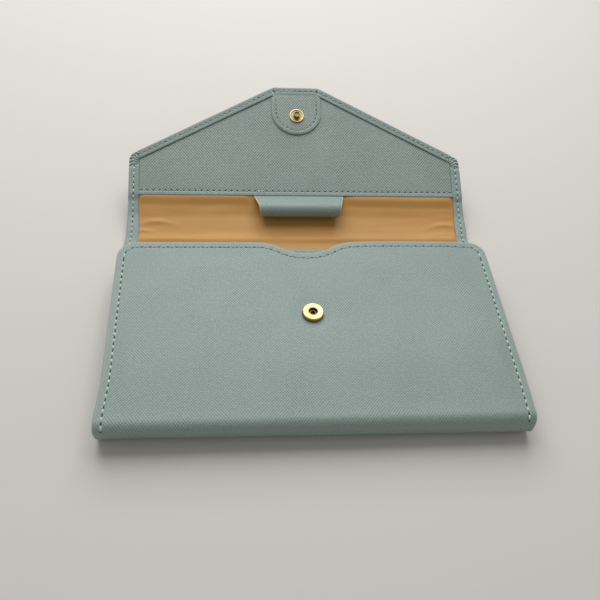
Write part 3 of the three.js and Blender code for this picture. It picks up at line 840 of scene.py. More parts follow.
# A row of stitches along a path of (x, s), on the side of the leather that up points to
def sew(skin, path, pitch, place, levelOf, up=1.0, share=0.54, size=1.0, highlight=None, hole=1.0):
    total = travelled(path)
    count = max(int(total[-1] / pitch), 1)
    pitch = total[-1] / count

    def along(distance):
        distance = min(max(distance, 0.0), total[-1])
        low = 0
        while low < len(total) - 2 and total[low + 1] < distance:
            low += 1
        part = (distance - total[low]) / max(total[low + 1] - total[low], 1e-9)
        (ax, ay), (bx, by) = path[low], path[low + 1]
        length = hypot(bx - ax, by - ay) or 1.0
        return (lerp(ax, bx, part), lerp(ay, by, part)), ((bx - ax) / length, (by - ay) / length)

    radius = stitch["radius"] * size
    for k in range(count):
        centre, (rx, ry) = along((k + 0.5) * pitch)
        # Painted highlight: stitches running along s are painted lit and those running across are painted
        # shaded, unless a highlight is given.
        threadHighlight = abs(ry) ** 3 if highlight is None else highlight
        slant = radians(stitch["slant"] + random.uniform(-2.5, 2.5))
        c, s = cos(slant), sin(slant)
        rx, ry = rx * c - ry * s, rx * s + ry * c
        nx, ny = -ry, rx
        half = pitch * share / 2
        rings = []
        for j in range(stitch["rings"]):
            t = lerp(-1.0, 1.0, j / (stitch["rings"] - 1))
            x, y = centre[0] + rx * half * t, centre[1] + ry * half * t
            rise = stitch["proud"] * size * (1 - 1.9 * t ** 4)
            thick = radius * (1 - 0.35 * t ** 4)
            ring = []
            for i in range(stitch["sides"]):
                angle = 2 * pi * i / stitch["sides"]
                side, lift = thick * cos(angle) * 1.15, thick * sin(angle) * 0.8
                level = levelOf(x, y) + up * (rise - radius * 0.35 + lift)
                flat = (k * pitch + t * half, side)
                ring.append(skin.add(place(x + nx * side, y + ny * side, level), flat, threadHighlight))
            rings.append(ring)
        skin.quads(rings, closed=True)
        skin.face(rings[0][::-1])
        skin.face(rings[-1])
    # Each needle hole is a small dark cone in the hole material: painted shade in the hole.
    for k in range(count + 1):
        centre, (rx, ry) = along(k * pitch)
        nx, ny = -ry, rx
        wide = stitch["hole"] * size * hole
        ring = []
        for i in range(8):
            angle = 2 * pi * i / 8
            a, b = wide * 1.2 * cos(angle), wide * 0.62 * sin(angle)
            x, y = centre[0] + rx * a + nx * b, centre[1] + ry * a + ny * b
            ring.append(skin.add(place(x, y, levelOf(x, y) - up * 0.02), (x, y)))
        top = skin.add(place(centre[0], centre[1], levelOf(*centre) + up * 0.05), centre)
        under = skin.add(place(centre[0], centre[1], levelOf(*centre) - up * 0.25), centre)
        for i in range(8):
            j = (i + 1) % 8
            skin.face((ring[i], ring[j], top), 1)
            skin.face((ring[j], ring[i], under), 1)


def bodyPoint(place, x, s, level):
    return tuple(part * mm for part in place(x, s, level))


# The folds that the leather bends over: two bodies, and where the bend starts and ends

foldLow = bodyPoint(chainPlace, 0, wallet["foldY"], 0)
foldMiddle = bodyPoint(chainPlace, 0, stripMiddle, 0)
foldHigh = bodyPoint(frontPlace, 0, wallet["foldY"], 0)


def foldEnds(fold, reach=7.0):
    return [bodyPoint(chainPlace, 0, fold + side * reach, wallet["pivotLevel"]) for side in (-1, 1)]


bends = {
    "backBend": ("back", "bottom_strip", foldLow, foldMiddle),
    "frontBend": ("bottom_strip", "front", foldMiddle, foldHigh),
    "spineBend": ("back", "spine", *foldEnds(wallet["spineFold"])),
    "flapBend": ("spine", "flap", *foldEnds(wallet["flapFold"])),
}


# Back, spine and flap: the turned strip's top level along the chain

edges = {
    "turnBack": 3.0,
    "turnSpine": 2.6,
    "turnFlap": 3.0,
    "turnRaised": 4.0,
    "hem": 93.0,
    "sideLine": 3.0,
    "pitch": 3.3,
    "edgeRadius": 0.9,
}


def stripTop(s):
    top = lerp(edges["turnBack"], edges["turnSpine"], smooth(60, 66, s))
    top = lerp(top, edges["turnFlap"], smooth(79, 85, s))
    return lerp(top, edges["turnRaised"], smooth(edges["hem"] - 3.4, edges["hem"] + 0.6, s))


def softness(x, s, seed):
    return 0.12 * ripple(x, s, 34, seed) + 0.05 * ripple(x, s, 11, seed + 4)


flapShape = {"side": 118.2, "tip": 165.0, "tipHalf": 14.0, "sideRound": 5.0, "tipRound": 3.5}
slantAcross = wallet["halfFlap"] - flapShape["tipHalf"]
slantUp = flapShape["tip"] - flapShape["side"]
gather = {"x": 89.6, "s": 113.4, "spacing": 0.26, "middle": 0.36, "lean": 0.08, "spread": 0.8, "depth": 0.7}


# Where the leather is gathered round the flap's corners: how far a point lies in the gathers, and how deep
# in a pleat. The pleats run out from the turned strip's inner corner, and one fold marks each corner of the
# flap's point.
def gathered(x, s, inset):
    out, up = abs(x) - gather["x"], s - gather["s"]
    inside, depth = 0.0, 0.0
    if out > 0 and hypot(out, up) < 13:
        bend = atan2(up, out) + 0.05 * sin(1.9 * inset) - gather["middle"]
        bend -= copysign(gather["lean"], x)
        inside = 1 - smooth(gather["spread"] * 0.75, gather["spread"], abs(bend))
        depth = inside * (0.5 + 0.5 * cos(2 * pi * bend / gather["spacing"]))
    if s > flapShape["tip"] - 6:
        across = abs(x) - flapShape["tipHalf"] - 0.25 * (s - flapShape["tip"])
        depth += 0.8 * hump(across, 0.0, 0.4)
        inside = max(inside, 0.6 * hump(across, 0.0, 1.3))
    return inside, depth


def chainLevel(kind, inset, part, x, s, edge, travel):
    top = stripTop(s)
    level = sectionLevel(kind, inset, part, top, edges["edgeRadius"])
    wear = 0.0
    if kind == "outer":
        level -= 0.6 * softness(x, s, 2.0) * smooth(0, 6, inset)
        if edge is not None:
            level += drawnIn(inset, edges["sideLine"], travel, edges["pitch"])
        wear = hump(inset, 0.0, 0.7)
    elif kind == "strip":
        level -= drawnIn(inset, edges["sideLine"], travel, edges["pitch"])
        level += 0.08 * ripple(x, s, 5.0, 9.0)
        wear = hump(inset, 0.0, 0.7) * 0.8
    elif kind == "wall":
        wear = 0.3
    if kind in ("strip", "cut") and edge is not None:
        inside, depth = gathered(x, s, inset)
        level -= gather["depth"] * depth
        # Painted highlight on the pleats' crests and painted shade in their grooves and along the folds at
        # the point's corners.
        wear = lerp(wear, lerp(2.2, -1.0, depth), inside)
    if kind == "cut":
        level = lerp(level, top - 0.85, part)
        # Painted shade: a dark line along the step of the turned strip's cut edge, darker on the slants than
        # on the sides.
        wear = lerp(-0.1, -0.5, smooth(112, 120, s))
    return level, wear


def flapCorners():
    half, side = wallet["halfFlap"], flapShape["side"]
    right = [(half, spineMiddle, 0.0), (half, side, flapShape["sideRound"]),
             (flapShape["tipHalf"], flapShape["tip"], flapShape["tipRound"])]
    return [(-x, s, radius) for x, s, radius in right] + right[::-1]


# Each side's corners, and how much of an inset each edge takes
flapOutline = {"corners": flapCorners(), "widths": [1.0, 0.86, 0.86, 0.86, 1.0]}
flapSpread = {
    "arc": 14,
    "edges": [
        partsOf(flapShape["side"] - spineMiddle, 1.0, 8, False, True),
        partsOf(hypot(slantAcross, slantUp), 1.0, 8, True, False),
        [i / 24 for i in range(1, 24)],
    ],
}
flapSpread["edges"] += [mirrored(flapSpread["edges"][k]) for k in (1, 0)]


def flapLoop(inset):
    return pathLoop(flapOutline["corners"], flapOutline["widths"], flapSpread, inset)


# The same stitch line on both faces of the strip
def sewBothFaces(skin, path):
    sew(skin, path, edges["pitch"], chainPlace, lambda x, s: stripTop(s) - sewn["groove"] * 0.6)
    sew(skin, path, edges["pitch"], chainPlace, lambda x, s: sewn["groove"] * 0.7, up=-1.0)


def makeFlapCover():
    skin = Skin()
    turnedCover(skin, flapLoop, turnedSection(6.0), footAndHead(flapSpread, 2), chainPlace, chainLevel)
    skin.finish("flapCover", [coverLeather], "cover_leather", "flapBend", "flap_cover", "spine_cover",
                fillHoles=True)
    row = Skin()
    path = flapLoop(edges["sideLine"])
    bent = [k for k, (x, s) in enumerate(path) if abs(x) > 50 and gathered(x, s, edges["sideLine"])[0] > 0.5]
    left = [k for k in bent if path[k][0] < 0]
    right = [k for k in bent if path[k][0] > 0]
    for low, high in ((0, left[0]), (left[-1], right[0]), (right[-1], len(path) - 1)):
        sewBothFaces(row, path[low:high + 1])
    row.finishStitches("flapEdgeStitches", "cover_leather", "flapBend")


def bodyHalf(s):
    t = min(max((s - wallet["narrowsAt"]) / wallet["narrowsOver"], 0.0), 1.0)
    return lerp(wallet["halfWidth"], wallet["halfFlap"], t)


def spanStops(low, high, step):
    count = max(int(round((high - low) / step)), 1)
    return [lerp(low, high, i / count) for i in range(count + 1)]


# Cover and lining of the back are cut here, between the two folds that they reach to.
backSeam = -20.0


def makeBackCover():
    upper = spanStops(backSeam, 56, 1.0) + spanStops(56.5, spineMiddle, 0.5)
    lower = spanStops(stripMiddle, wallet["foldY"], 0.6) + spanStops(wallet["foldY"] + 1, backSeam, 1.0)
    for name, stops, hold, nodes in (("backCover", upper, "spineBend", ["back_cover"]),
                                     ("backFoldCover", lower, "backBend", [])):
        skin = Skin()
        turnedBand(skin, turnedSection(6.0), stops, 56)
        skin.finish(name, [coverLeather], "cover_leather", hold, *nodes, fillHoles=True)
    row = Skin()
    stops = spanStops(-50.0, spineMiddle, 1.0)
    for side in (-1, 1):
        sewBothFaces(row, [(side * (bodyHalf(s) - edges["sideLine"]), s) for s in stops])
    row.finishStitches("backEdgeStitches", "cover_leather", "spineBend")


makeFlapCover()
makeBackCover()
print("back, spine and flap covers made")


# Front panel

front = {
    "top": 50.0,
    "leftRound": 10.6,
    "rightRound": 9.0,
    "notchHalf": 27.0,
    "notchDepth": 7.9,
    "sideTop": 4.4,
    "hemTop": 1.3,
    "sideLine": 3.9,
    "topLine": 3.9,
    "pitch": 3.7,
    "topPitch": 4.5,
    "stitchesEnd": -63.0,
}


def notchDrop(x):
    reach = front["notchHalf"]
    if abs(x) >= reach:
        return 0.0
    low, high = 0.0, 1.0
    for _ in range(30):
        t = (low + high) / 2
        at = reach * (1 - t) ** 3 + 1.5 * reach * (1 - t) ** 2 * t + 1.5 * reach * (1 - t) * t * t
        if at > abs(x):
            low = t
        else:
            high = t
    t = (low + high) / 2
    return front["notchDepth"] * (3 * t * t - 2 * t ** 3)


def notchSlope(x):
    return (notchDrop(x + 0.05) - notchDrop(x - 0.05)) / 0.1


frontCorners = [(-wallet["halfWidth"], stripMiddle, 0.0),
                (-wallet["halfWidth"], front["top"], front["leftRound"]),
                (wallet["halfWidth"], front["top"], front["rightRound"]),
                (wallet["halfWidth"], stripMiddle, 0.0)]
foldParts = [i / 18 * (wallet["foldY"] - stripMiddle) / (41.0 - stripMiddle) for i in range(1, 19)]
flatParts = [(s - stripMiddle) / (41.0 - stripMiddle) for s in spanStops(wallet["foldY"] + 1.5, 39.5, 1.5)]
frontSpread = {
    "arc": 16,
    "edges": [foldParts + flatParts, [i / 140 for i in range(1, 140)]],
}
frontSpread["edges"].append(mirrored(frontSpread["edges"][0]))


def frontLoop(inset):
    points = pathLoop(frontCorners, [1.0, 1.0, 1.0], frontSpread, inset)
    shaped = []
    for x, s in points:
        if abs(x) < front["notchHalf"] and s > 0:
            slope = notchSlope(x)
            length = hypot(slope, 1.0)
            s = front["top"] - notchDrop(x) - inset / length
            x = x - slope / length * inset
        shaped.append((x, s))
    return shaped


# The sides are turned in over the lining, and the top under the slip pocket.
def frontStripTop(x, s):
    side = (1 - smooth(41.0, 45.0, s)) * smooth(60.0, 62.0, abs(x))
    return lerp(front["hemTop"], front["sideTop"], side)


def frontLine(s):
    return lerp(front["sideLine"], front["topLine"], smooth(38.0, 47.0, s))


# The face swells a little in its middle, most of all below the snap, and sinks towards its edges.
def frontSwell(x, s):
    half = wallet["halfWidth"]
    rise = 0.4 * cos(pi / 2 * x / half) * sin(pi * min(max((s + 56) / 100, 0), 1))
    rise += 0.85 * hump(s, -27, 19) * smooth(-60, -46, s)
    edge = min(half - abs(x), front["top"] - notchDrop(x) - s)
    return (rise + softness(x, s, 6.0)) * smooth(2.5, 12, edge) * smooth(5.0, 13.0, hypot(x, s))


def frontLevel(kind, inset, part, x, s, edge, travel):
    top = frontStripTop(*(edge or (x, s)))
    level = sectionLevel(kind, inset, part, top, 0.8)
    wear = 0.0
    if kind == "outer":
        level -= frontSwell(x, s)
        if edge is not None and s > front["stitchesEnd"]:
            level += drawnIn(inset, frontLine(s), travel, front["pitch"])
        wear = hump(inset, 0.0, 0.8)
        # Painted shade in the snap socket's hole, darkest at the face's middle.
        if edge is None:
            wear -= 1 - smooth(2.6, 4.2, hypot(x, s))
    elif kind == "wall":
        wear = 0.25
    elif kind == "inside":
        level -= frontSwell(x, s)
    return level, wear


def makeFrontCover():
    skin = Skin()
    counts = footAndHead(frontSpread, 1)
    turnedCover(skin, frontLoop, turnedSection(5.0, 7.2), counts, frontPlace, frontLevel)
    skin.finish("frontCover", [coverLeather], "cover_leather", "frontBend", "front_cover",
                "bottom_fold_cover", fillHoles=True)
    loops = {}
    paths = {"left": [], "top": [], "right": []}
    for k, (x, s) in enumerate(frontLoop(0.0)):
        if s > front["stitchesEnd"]:
            inset = round(frontLine(s), 1)
            if inset not in loops:
                loops[inset] = frontLoop(inset)
            key = "top" if s > 37 else ("left" if x < 0 else "right")
            paths[key].append(loops[inset][k])
    row = Skin()
    for key, path in paths.items():
        pitch, size, hole = (front["topPitch"], 1.0, 1.5) if key == "top" else (front["pitch"], 1.2, 1.12)
        sew(row, path, pitch, frontPlace, lambda x, s: sewn["groove"] * 0.6 - frontSwell(x, s),
            up=-1.0, size=size, hole=hole)
    row.finishStitches("frontStitches", "cover_leather", "frontBend")


makeFrontCover()
print("front cover made")


# Slip pocket's inner layer, whose straight edge shows in the notch

slip = {
    "top": 46.5,
    "half": 98.9,
    "reach": 97.8,
    "sideGap": 1.1,
    "columns": 96,
    "corner": 8.1,
    "level": 1.5,
    "bottom": 2.3,
    "turnTop": 4.4,
    "turnHalf": 94.5,
    "hem": 5.0,
    "line": 2.4,
    "pitch": 2.6,
}


def makeSlipPanel():
    skin = Skin()
    outer, inner, foot = slip["level"], slip["bottom"], wallet["foldY"] + 1
    straight = slip["half"] - slip["corner"]
    lines = []
    for i in range(slip["columns"] + 1):
        x = -slip["half"] + slip["reach"] * 2 * i / slip["columns"] + slip["sideGap"]
        drop = 0.0 if abs(x) < straight else roundOff(slip["half"] - abs(x), slip["corner"])
        head = slip["top"] - drop
        turn = slip["turnTop"] if abs(x) < slip["turnHalf"] else inner
        under = max(turn - 0.6, inner - 0.01)
        deep = turn - outer
        radius = min(deep / 2, 0.9)
        sides = [(foot, outer), (head - 12, outer), (head - 5, outer)]
        for drop in (3.6, 3.0, 2.4, 1.8, 1.2, 0.8):
            sides.append((head - drop, outer + 0.1 * hump(drop, slip["line"], 0.5)))
        for angle in (pi * step / 6 for step in range(7)):
            curve = (radius * sin(angle), deep / 2 * cos(angle))
            sides.append((head - radius + curve[0], outer + deep / 2 - curve[1]))
        sides += [(head - slip["hem"], turn), (head - slip["hem"], under), (head - 1.6, under)]
        sides += [(head - 1.6, inner), (foot, inner)]
        lines.append([skin.add(frontPlace(x, s, level), (x, s - level)) for s, level in sides])
    skin.quads(lines, closed=True)
    skin.face(lines[0])
    skin.face(lines[-1][::-1])
    skin.finish("slipPocketPanel", [pocketLeather], "pocket_leather", "front", "slip_pocket_panel")
    row = Skin()
    path = [(x, slip["top"] - slip["line"]) for x in spanStops(-straight + 2, straight - 2, 2.0)]
    sew(row, path, slip["pitch"], frontPlace, lambda x, s: outer + 0.08, up=-1.0, size=0.75)
    row.finishStitches("slipPocketStitches", "pocket_leather", "front")


makeSlipPanel()


# Satin lining

lining = {
    "backLevel": 1.9,
    "spineLevel": 1.45,
    "frontLevel": 3.3,
    "thickness": 0.3,
    "inset": 1.4,
    "slantHalf": 97.2,
    "tipHalf": 12.6,
    "tipTop": 162.5,
    "frontTop": 44.9,
    "width": 197.2,
    "flapWidth": 194.4,
    "flatTipHalf": 17,
}

creases = [
    # middle x, s, half length, rise, width, bow
    (-82.0, 76.6, 9.0, 0.62, 1.7, 0.02),
    (-90.0, 70.4, 6.5, 0.5, 1.2, 0.03),
    (-84.0, 81.6, 9.0, 0.2, 1.6, 0.0),
    (86.0, 74.9, 9.0, 0.55, 1.5, 0.02),
    (85.0, 68.4, 7.0, 0.3, 1.0, 0.01),
    (88.0, 80.4, 9.0, 0.3, 1.7, 0.0),
]


def liningLevel(s):
    level = lerp(lining["backLevel"], lining["spineLevel"], smooth(60, 67, s))
    return lerp(level, lining["backLevel"], smooth(79, 85, s))


def wrinkles(x, s):
    held = 1 - smooth(90.0, 94.5, abs(x))
    free = smooth(58, 65, s) * (1 - smooth(93.5, 96.5, s))
    total = 0.0
    for middle, at, half, rise, width, bow in creases:
        centre = at - bow * (x - middle) ** 2
        total += rise * hump(x, middle, half) * hump(s, centre, width)
    loose = 1.5 * hump(s, 64.4, 3.2) * (0.8 + 0.2 * ripple(x, s, 40, 3.0))
    rise = smooth(85.8, 91.4, s - 0.5 + x / 150) * (1 - smooth(92.8, 93.8, s))
    loose += 1.15 * rise * lerp(0.35, 1.0, smooth(24, 34, abs(x)))
    total += loose + 0.08 * ripple(x / 5, s, 4.0, 5.0)
    return total * held * free


def quietWrinkles(x, s):
    held = 1 - smooth(88.0, 94.0, abs(x))
    return held * (0.12 * ripple(x / 3, s, 9.0, 8.0) + 0.06 * ripple(x, s / 3, 7.0, 12.0))


def liningHalf(s):
    return bodyHalf(s) - lining["inset"]


def makeLiningPiece(name, low, high, step, place, levelOf, crease, half, width, rests, hold, *nodes, **area):
    skin = Skin()
    shares = [2 * i / 132 - 1 for i in range(133)]
    grid = [[(half(s) * share, s) for share in shares] for s in spanStops(low, high, step)]
    thin = lining["thickness"]
    thinPanel(skin, grid, place, lambda x, s: levelOf(s) + crease(x, s),
              lambda x, s: levelOf(s) + thin + crease(x, s), 0.12, butt=spineMiddle)
    piece = skin.finish(name, [satinLining], "satin_lining", hold, *nodes)


def makeBackLining():
    for name, low, high, step, crease, cover, hold, node in (
            ("backLining", backSeam, spineMiddle, 0.6, wrinkles, "backCover", "spineBend", "back_lining"),
            ("backFoldLining", stripMiddle, backSeam, 1.2, quietWrinkles, "backFoldCover", "backBend",
             "bottom_fold_lining")):
        makeLiningPiece(name, low, high, step, chainPlace, liningLevel, crease, liningHalf, lining["width"],
                        ["back_board", cover], hold, node)


def flapLiningHalf(s):
    if s <= flapShape["side"]:
        return liningHalf(s)
    return lerp(lining["slantHalf"], lining["tipHalf"], (s - flapShape["side"]) / slantUp)


def makeFlapLining():
    low, high, side = spineMiddle, lining["tipTop"], flapShape["side"]
    half = liningHalf(side)
    area = (2 * half * (side - low) + (half + lining["flatTipHalf"]) * (high - side)) * mm * mm
    makeLiningPiece("flapLining", low, high, 0.6, chainPlace, liningLevel, wrinkles, flapLiningHalf,
                    lining["flapWidth"], ["flap_board", "flapCover"], "flapBend", "spine_lining",
                    "flap_lining", area=area)


def frontLiningLevel(s):
    return lerp(lining["backLevel"], lining["frontLevel"], smooth(-60, -50, s))


# The front lining's upper corners are cut off, under the side strips and the slip pocket's hem.
def frontLiningHalf(s):
    return liningHalf(s) - 4.6 * smooth(39.5, 42.0, s)


def makeFrontLining():
    makeLiningPiece("frontLining", stripMiddle, lining["frontTop"], 1.2, frontPlace, frontLiningLevel,
                    quietWrinkles, frontLiningHalf, lining["width"], ["front_board", "slipPocketPanel"],
                    "frontBend", "front_lining")


makeBackLining()
makeFlapLining()
makeFrontLining()
print("lining made")


# Flap's pocket panel, with its rolled hem

hem = {"top": 3.2, "bottom": 2.45, "rise": 0.3, "width": 2.2, "line": 3.1, "pitch": 3.45, "tuck": 3.6}


def hemLevel(x, s):
    depth = s - edges["hem"]
    roll = hem["rise"] * (1 - smooth(hem["width"] - 0.7, hem["width"] + 0.9, depth))
    roll -= roundOff(max(depth, 0.0), 0.42) * 0.9
    travel = x + 90
    pull = 0.85 + 0.15 * cos(2 * pi * travel / hem["pitch"])
    groove = 0.16 * pull * hump(depth, hem["line"], 0.6)
    soft = 0.8 * softness(x, s, 15.0) * smooth(6, 20, depth) + 0.05 * ripple(x, s, 6, 1.0)
    return hem["top"] + roll - groove + soft


def makeFlapPanel():
    skin = Skin()
    grid = []
    rows = [0.0, 0.12, 0.3, 0.55, 0.9, 1.4, 2.0, 2.5, 2.9, 3.2, 3.5, 3.8, 4.1, 4.4, 4.7]
    rows += [5.1, 5.6, 6.4, 7.6, 9.0] + spanStops(10.5, 67.5, 1.5)
    for row in rows:
        s = edges["hem"] + row
        rise = s + hem["tuck"] / cos(atan2(slantUp, slantAcross)) - flapShape["side"]
        reach = wallet["halfFlap"] - max(hem["tuck"] + 0.6, rise * slantAcross / slantUp)
        grid.append([(reach * (2 * i / 120 - 1), s) for i in range(121)])
    # The panel's rounded rim gets painted shade, which shows as a dark line along the hem's lower edge.
    thinPanel(skin, grid, chainPlace, lambda x, s: hem["bottom"], hemLevel, 0.1, rim=-0.9)
    skin.finish("flapPocketPanel", [pocketLeather], "pocket_leather", "flap", "flap_pocket_panel")
    row = Skin()
    path = [(x, edges["hem"] + hem["line"]) for x in spanStops(-91.5, 91.5, 2.0)]
    sew(row, path, hem["pitch"], chainPlace, lambda x, s: hemLevel(x, s) + 0.03, hole=1.1)
    knot = [(-24.5, edges["hem"] + 2.4), (-22.6, edges["hem"] + 3.3), (-21.4, edges["hem"] + 2.3)]
    # The knot's stitches are painted fully highlit.
    sew(row, knot, 1.4, chainPlace, lambda x, s: hem["top"] + 0.1, share=0.9, highlight=1.0)
    row.finishStitches("flapHemStitches", "pocket_leather", "flap")


makeFlapPanel()


# Snap patch

patch = {
    "centre": 148.0,
    "half": 15.0,
    "top": 159.7,
    "chamfer": 2.0,
    "line": 2.7,
    "low": 3.35,
    "high": 4.2,
    "edge": 0.4,
    "pitch": 2.9,
}


def patchOutline():
    half, centre, top, cut = patch["half"], patch["centre"], patch["top"], patch["chamfer"]
    points = [(half * sin(a), centre - half * cos(a))
              for a in (pi * (i / 60 - 0.5) for i in range(61))]
    points += [(half, s) for s in spanStops(centre, top - cut, 0.8)[1:]]
    points += [(half - cut * t, top - cut + cut * t) for t in (0.33, 0.66, 1.0)]
    points += [(x, top) for x in spanStops(half - cut, cut - half, 0.8)[1:]]
    points += [(cut * t - half, top - cut * (t - 1) - cut) for t in (0.33, 0.66)]
    points += [(-half, s) for s in spanStops(top - cut, centre, 0.8)[:-1]]
    return points


# How far inside the patch's sewn edge a point lies; its straight top is tucked under the turned strip.
def patchInset(x, s):
    if s < patch["centre"]:
        return patch["half"] - hypot(x, s - patch["centre"])
    return patch["half"] - abs(x)


def makeSnapPatch():
    skin = Skin()
    outline = patchOutline()
    middle = (0.0, patch["centre"] - 1)
    bands = []

    def band(share, levelOf, wear=0.0):
        ring = [(lerp(x, middle[0], share), lerp(s, middle[1], share)) for x, s in outline]
        bands.append([skin.put(chainPlace, x, s, levelOf(x, s), wear) for x, s in ring])

    def top(x, s):
        inset = max(patchInset(x, s), 0.0)
        travel = atan2(s - middle[1], x) * 12.0
        padded = 0.14 * hump(inset, 1.2, 0.9)
        pulled = drawnIn(inset, patch["line"], travel, patch["pitch"])
        return patch["high"] - roundOff(inset, patch["edge"]) - 1.3 * pulled + padded

    for share in (0.98, 0.7, 0.4, 0.1, 0.02):
        band(share, lambda x, s: patch["low"])
    for rise in (0.1, 0.4, 0.8):
        band(0.0, lambda x, s: lerp(patch["low"], patch["high"] - patch["edge"], rise), 0.4)
    rimShares = [0.0, 0.004, 0.01, 0.018, 0.028, 0.04, 0.06]
    for share in rimShares + spanStops(0.08, 0.36, 0.018) + [0.45, 0.6, 0.8, 0.98]:
        band(share, top, 0.5 * (share < 0.03))
    skin.quads(bands, closed=True)
    skin.face(bands[0])
    skin.face(bands[-1])
    skin.finish("snapPatch", [pocketLeather], "pocket_leather", "flap", "snap_patch")
    row = Skin()
    reach = patch["half"] - patch["line"]
    path = [(-reach, s) for s in spanStops(patch["top"] - 1.6, patch["centre"], 1.0)]
    path += [(-reach * cos(a), patch["centre"] - reach * sin(a))
             for a in (pi * i / 40 for i in range(1, 40))]
    path += [(reach, s) for s in spanStops(patch["centre"], patch["top"] - 1.6, 1.0)]
    # The patch's stitches get no painted highlight.
    sew(row, path, patch["pitch"], chainPlace, lambda x, s: patch["high"] - 0.11, size=0.9, highlight=0.0,
        hole=1.1)
    row.finishStitches("snapPatchStitches", "pocket_leather", "flap")


makeSnapPatch()
print("flap panel and patch made")


# Pen loop: a strip folded on itself, its cut sides left raw

penLoop = {
    "pivot": (90.0395, 11.3092),
    "lean": -2.0,
    "reach": 10.3,
    "nose": 4.2,
    "leather": 0.9,
    "rootHalf": 26.3,
    "noseTopHalf": 23.2,
    "noseHalf": 22.6,
    "underHalf": 21.9,
    "shift": -0.35,
    "paint": 0.42,
}


def loopSection(nose, root):
    reach = penLoop["reach"]
    lean = acos((nose - root) / reach)
    points = []
    for i in range(41):
        angle = lerp(lean, 2 * pi - lean, i / 40)
        points.append((-reach + nose * cos(angle), nose * sin(angle)))
    for i in range(1, 8):
        t = i / 8
        angle = lerp(-lean, lean, t)
        points.append((root * cos(angle), root * sin(angle)))
    return points


def makePenLoop():
    root = penLoop["leather"] + 0.1
    centre = -penLoop["reach"]
    far = centre - penLoop["nose"]
    outer = loopSection(penLoop["nose"], root)
    inner = loopSection(penLoop["nose"] - penLoop["leather"], root - penLoop["leather"])
    flats = [0.0] + travelled(outer)[1:]
    tilt = radians(penLoop["lean"])

    def place(x, a, b):
        y = penLoop["pivot"][0] + a * cos(tilt) - b * sin(tilt)
        z = penLoop["pivot"][1] + a * sin(tilt) + b * cos(tilt)
        return (x + penLoop["shift"], y, z)

    skin = Skin()
    columns = 48
    sides = []
    for facing, section in ((1, outer), (-1, inner)):
        lines = []
        for k, (a, b) in enumerate(section):
            widest = lerp(penLoop["underHalf"], penLoop["rootHalf"], smooth(-2.5, 0.5, b))
            narrowest = lerp(penLoop["noseHalf"], penLoop["noseTopHalf"], smooth(-4.2, 4.0, b))
            half = lerp(narrowest, widest, (a - far) / (root - far))
            cut = half - penLoop["paint"]
            stops = [-half] + [cut * (2 * i / (columns - 2) - 1) for i in range(columns - 1)] + [half]
            line = []
            for x in stops:
                drift = 0.1 * ripple(x, flats[k], 14, 21.0)
                worn = 0.32 * smooth(cut - 0.1, half, abs(x)) * facing
                shift = (drift - worn) / (hypot(a - centre, b) or 1.0)
                line.append(skin.add(place(x, a + (a - centre) * shift, b + b * shift), (x, flats[k])))
            lines.append(line)
        lines.append(lines[0])
        skin.quads([line[1:-1] for line in lines])
        skin.quads([line[:2] for line in lines], slot=1)
        skin.quads([line[-2:] for line in lines], slot=1)
        sides.append(lines)
    for column in (0, columns):
        skin.quads([[line[column] for line in lines] for lines in sides], slot=1)
    (y, z), along = penLoop["pivot"], ((0.6, 0.0), (-3.4, -0.1))
    start, end = ((0, (y + across) * mm, (z + up) * mm) for across, up in along)
    bends["loopBend"] = ("flap", "pen_loop", start, end)
    skin.finish("penLoop", [coverLeather, cutEdge], "cover_leather", "loopBend", "pen_loop")


makePenLoop()
print("pen loop made")


# Press snap, turned from smooth profiles

snap = {
    "frontAt": (0.0, 0.0, 15.5),
    "flapS": 145.0,
    "steps": 72,
    "closedHeight": 24.0,
    "studBase": 4.4,
    "bead": 0.8,
    "clear": 1.2,
}


# dark paints shade into the metal, per vertex, from its radius and height.
def lathe(name, profile, place, body, node, dark=lambda radius, height: 0.0):
    skin = Skin()
    rings = []
    for radius, height in profile:
        ring = []
        for i in range(snap["steps"]):
            angle = 2 * pi * i / snap["steps"]
            x, y = radius * cos(angle), radius * sin(angle)
            ring.append(skin.put(place, x, y, height, dark(radius, height)))
        rings.append(ring)
    skin.quads(rings + rings[:1], closed=True)
    skin.finish(name, [snapGold], "pale_gold_metal", body, node, sharp=32.0)


# A corner of a profile turned into a short curve
def eased(profile, radius):
    points = []
    for k, here in enumerate(profile):
        if here[0] < 0.02:
            points.append(here)
            continue
        for other, order in ((profile[k - 1], (1.0, 0.45)), (profile[(k + 1) % len(profile)], (0.45, 1.0))):
            length = hypot(other[0] - here[0], other[1] - here[1]) or 1.0
            for part in order:
                cut = min(radius * part, length * 0.45)
                points.append(tuple(h + (o - h) / length * cut for h, o in zip(here, other)))
    return points


def onFront(x, y, height):
    return (snap["frontAt"][0] + x, snap["frontAt"][1] + y, snap["frontAt"][2] + height)


def onFlap(x, y, level):
    return chainPlace(x, snap["flapS"] + y, level)


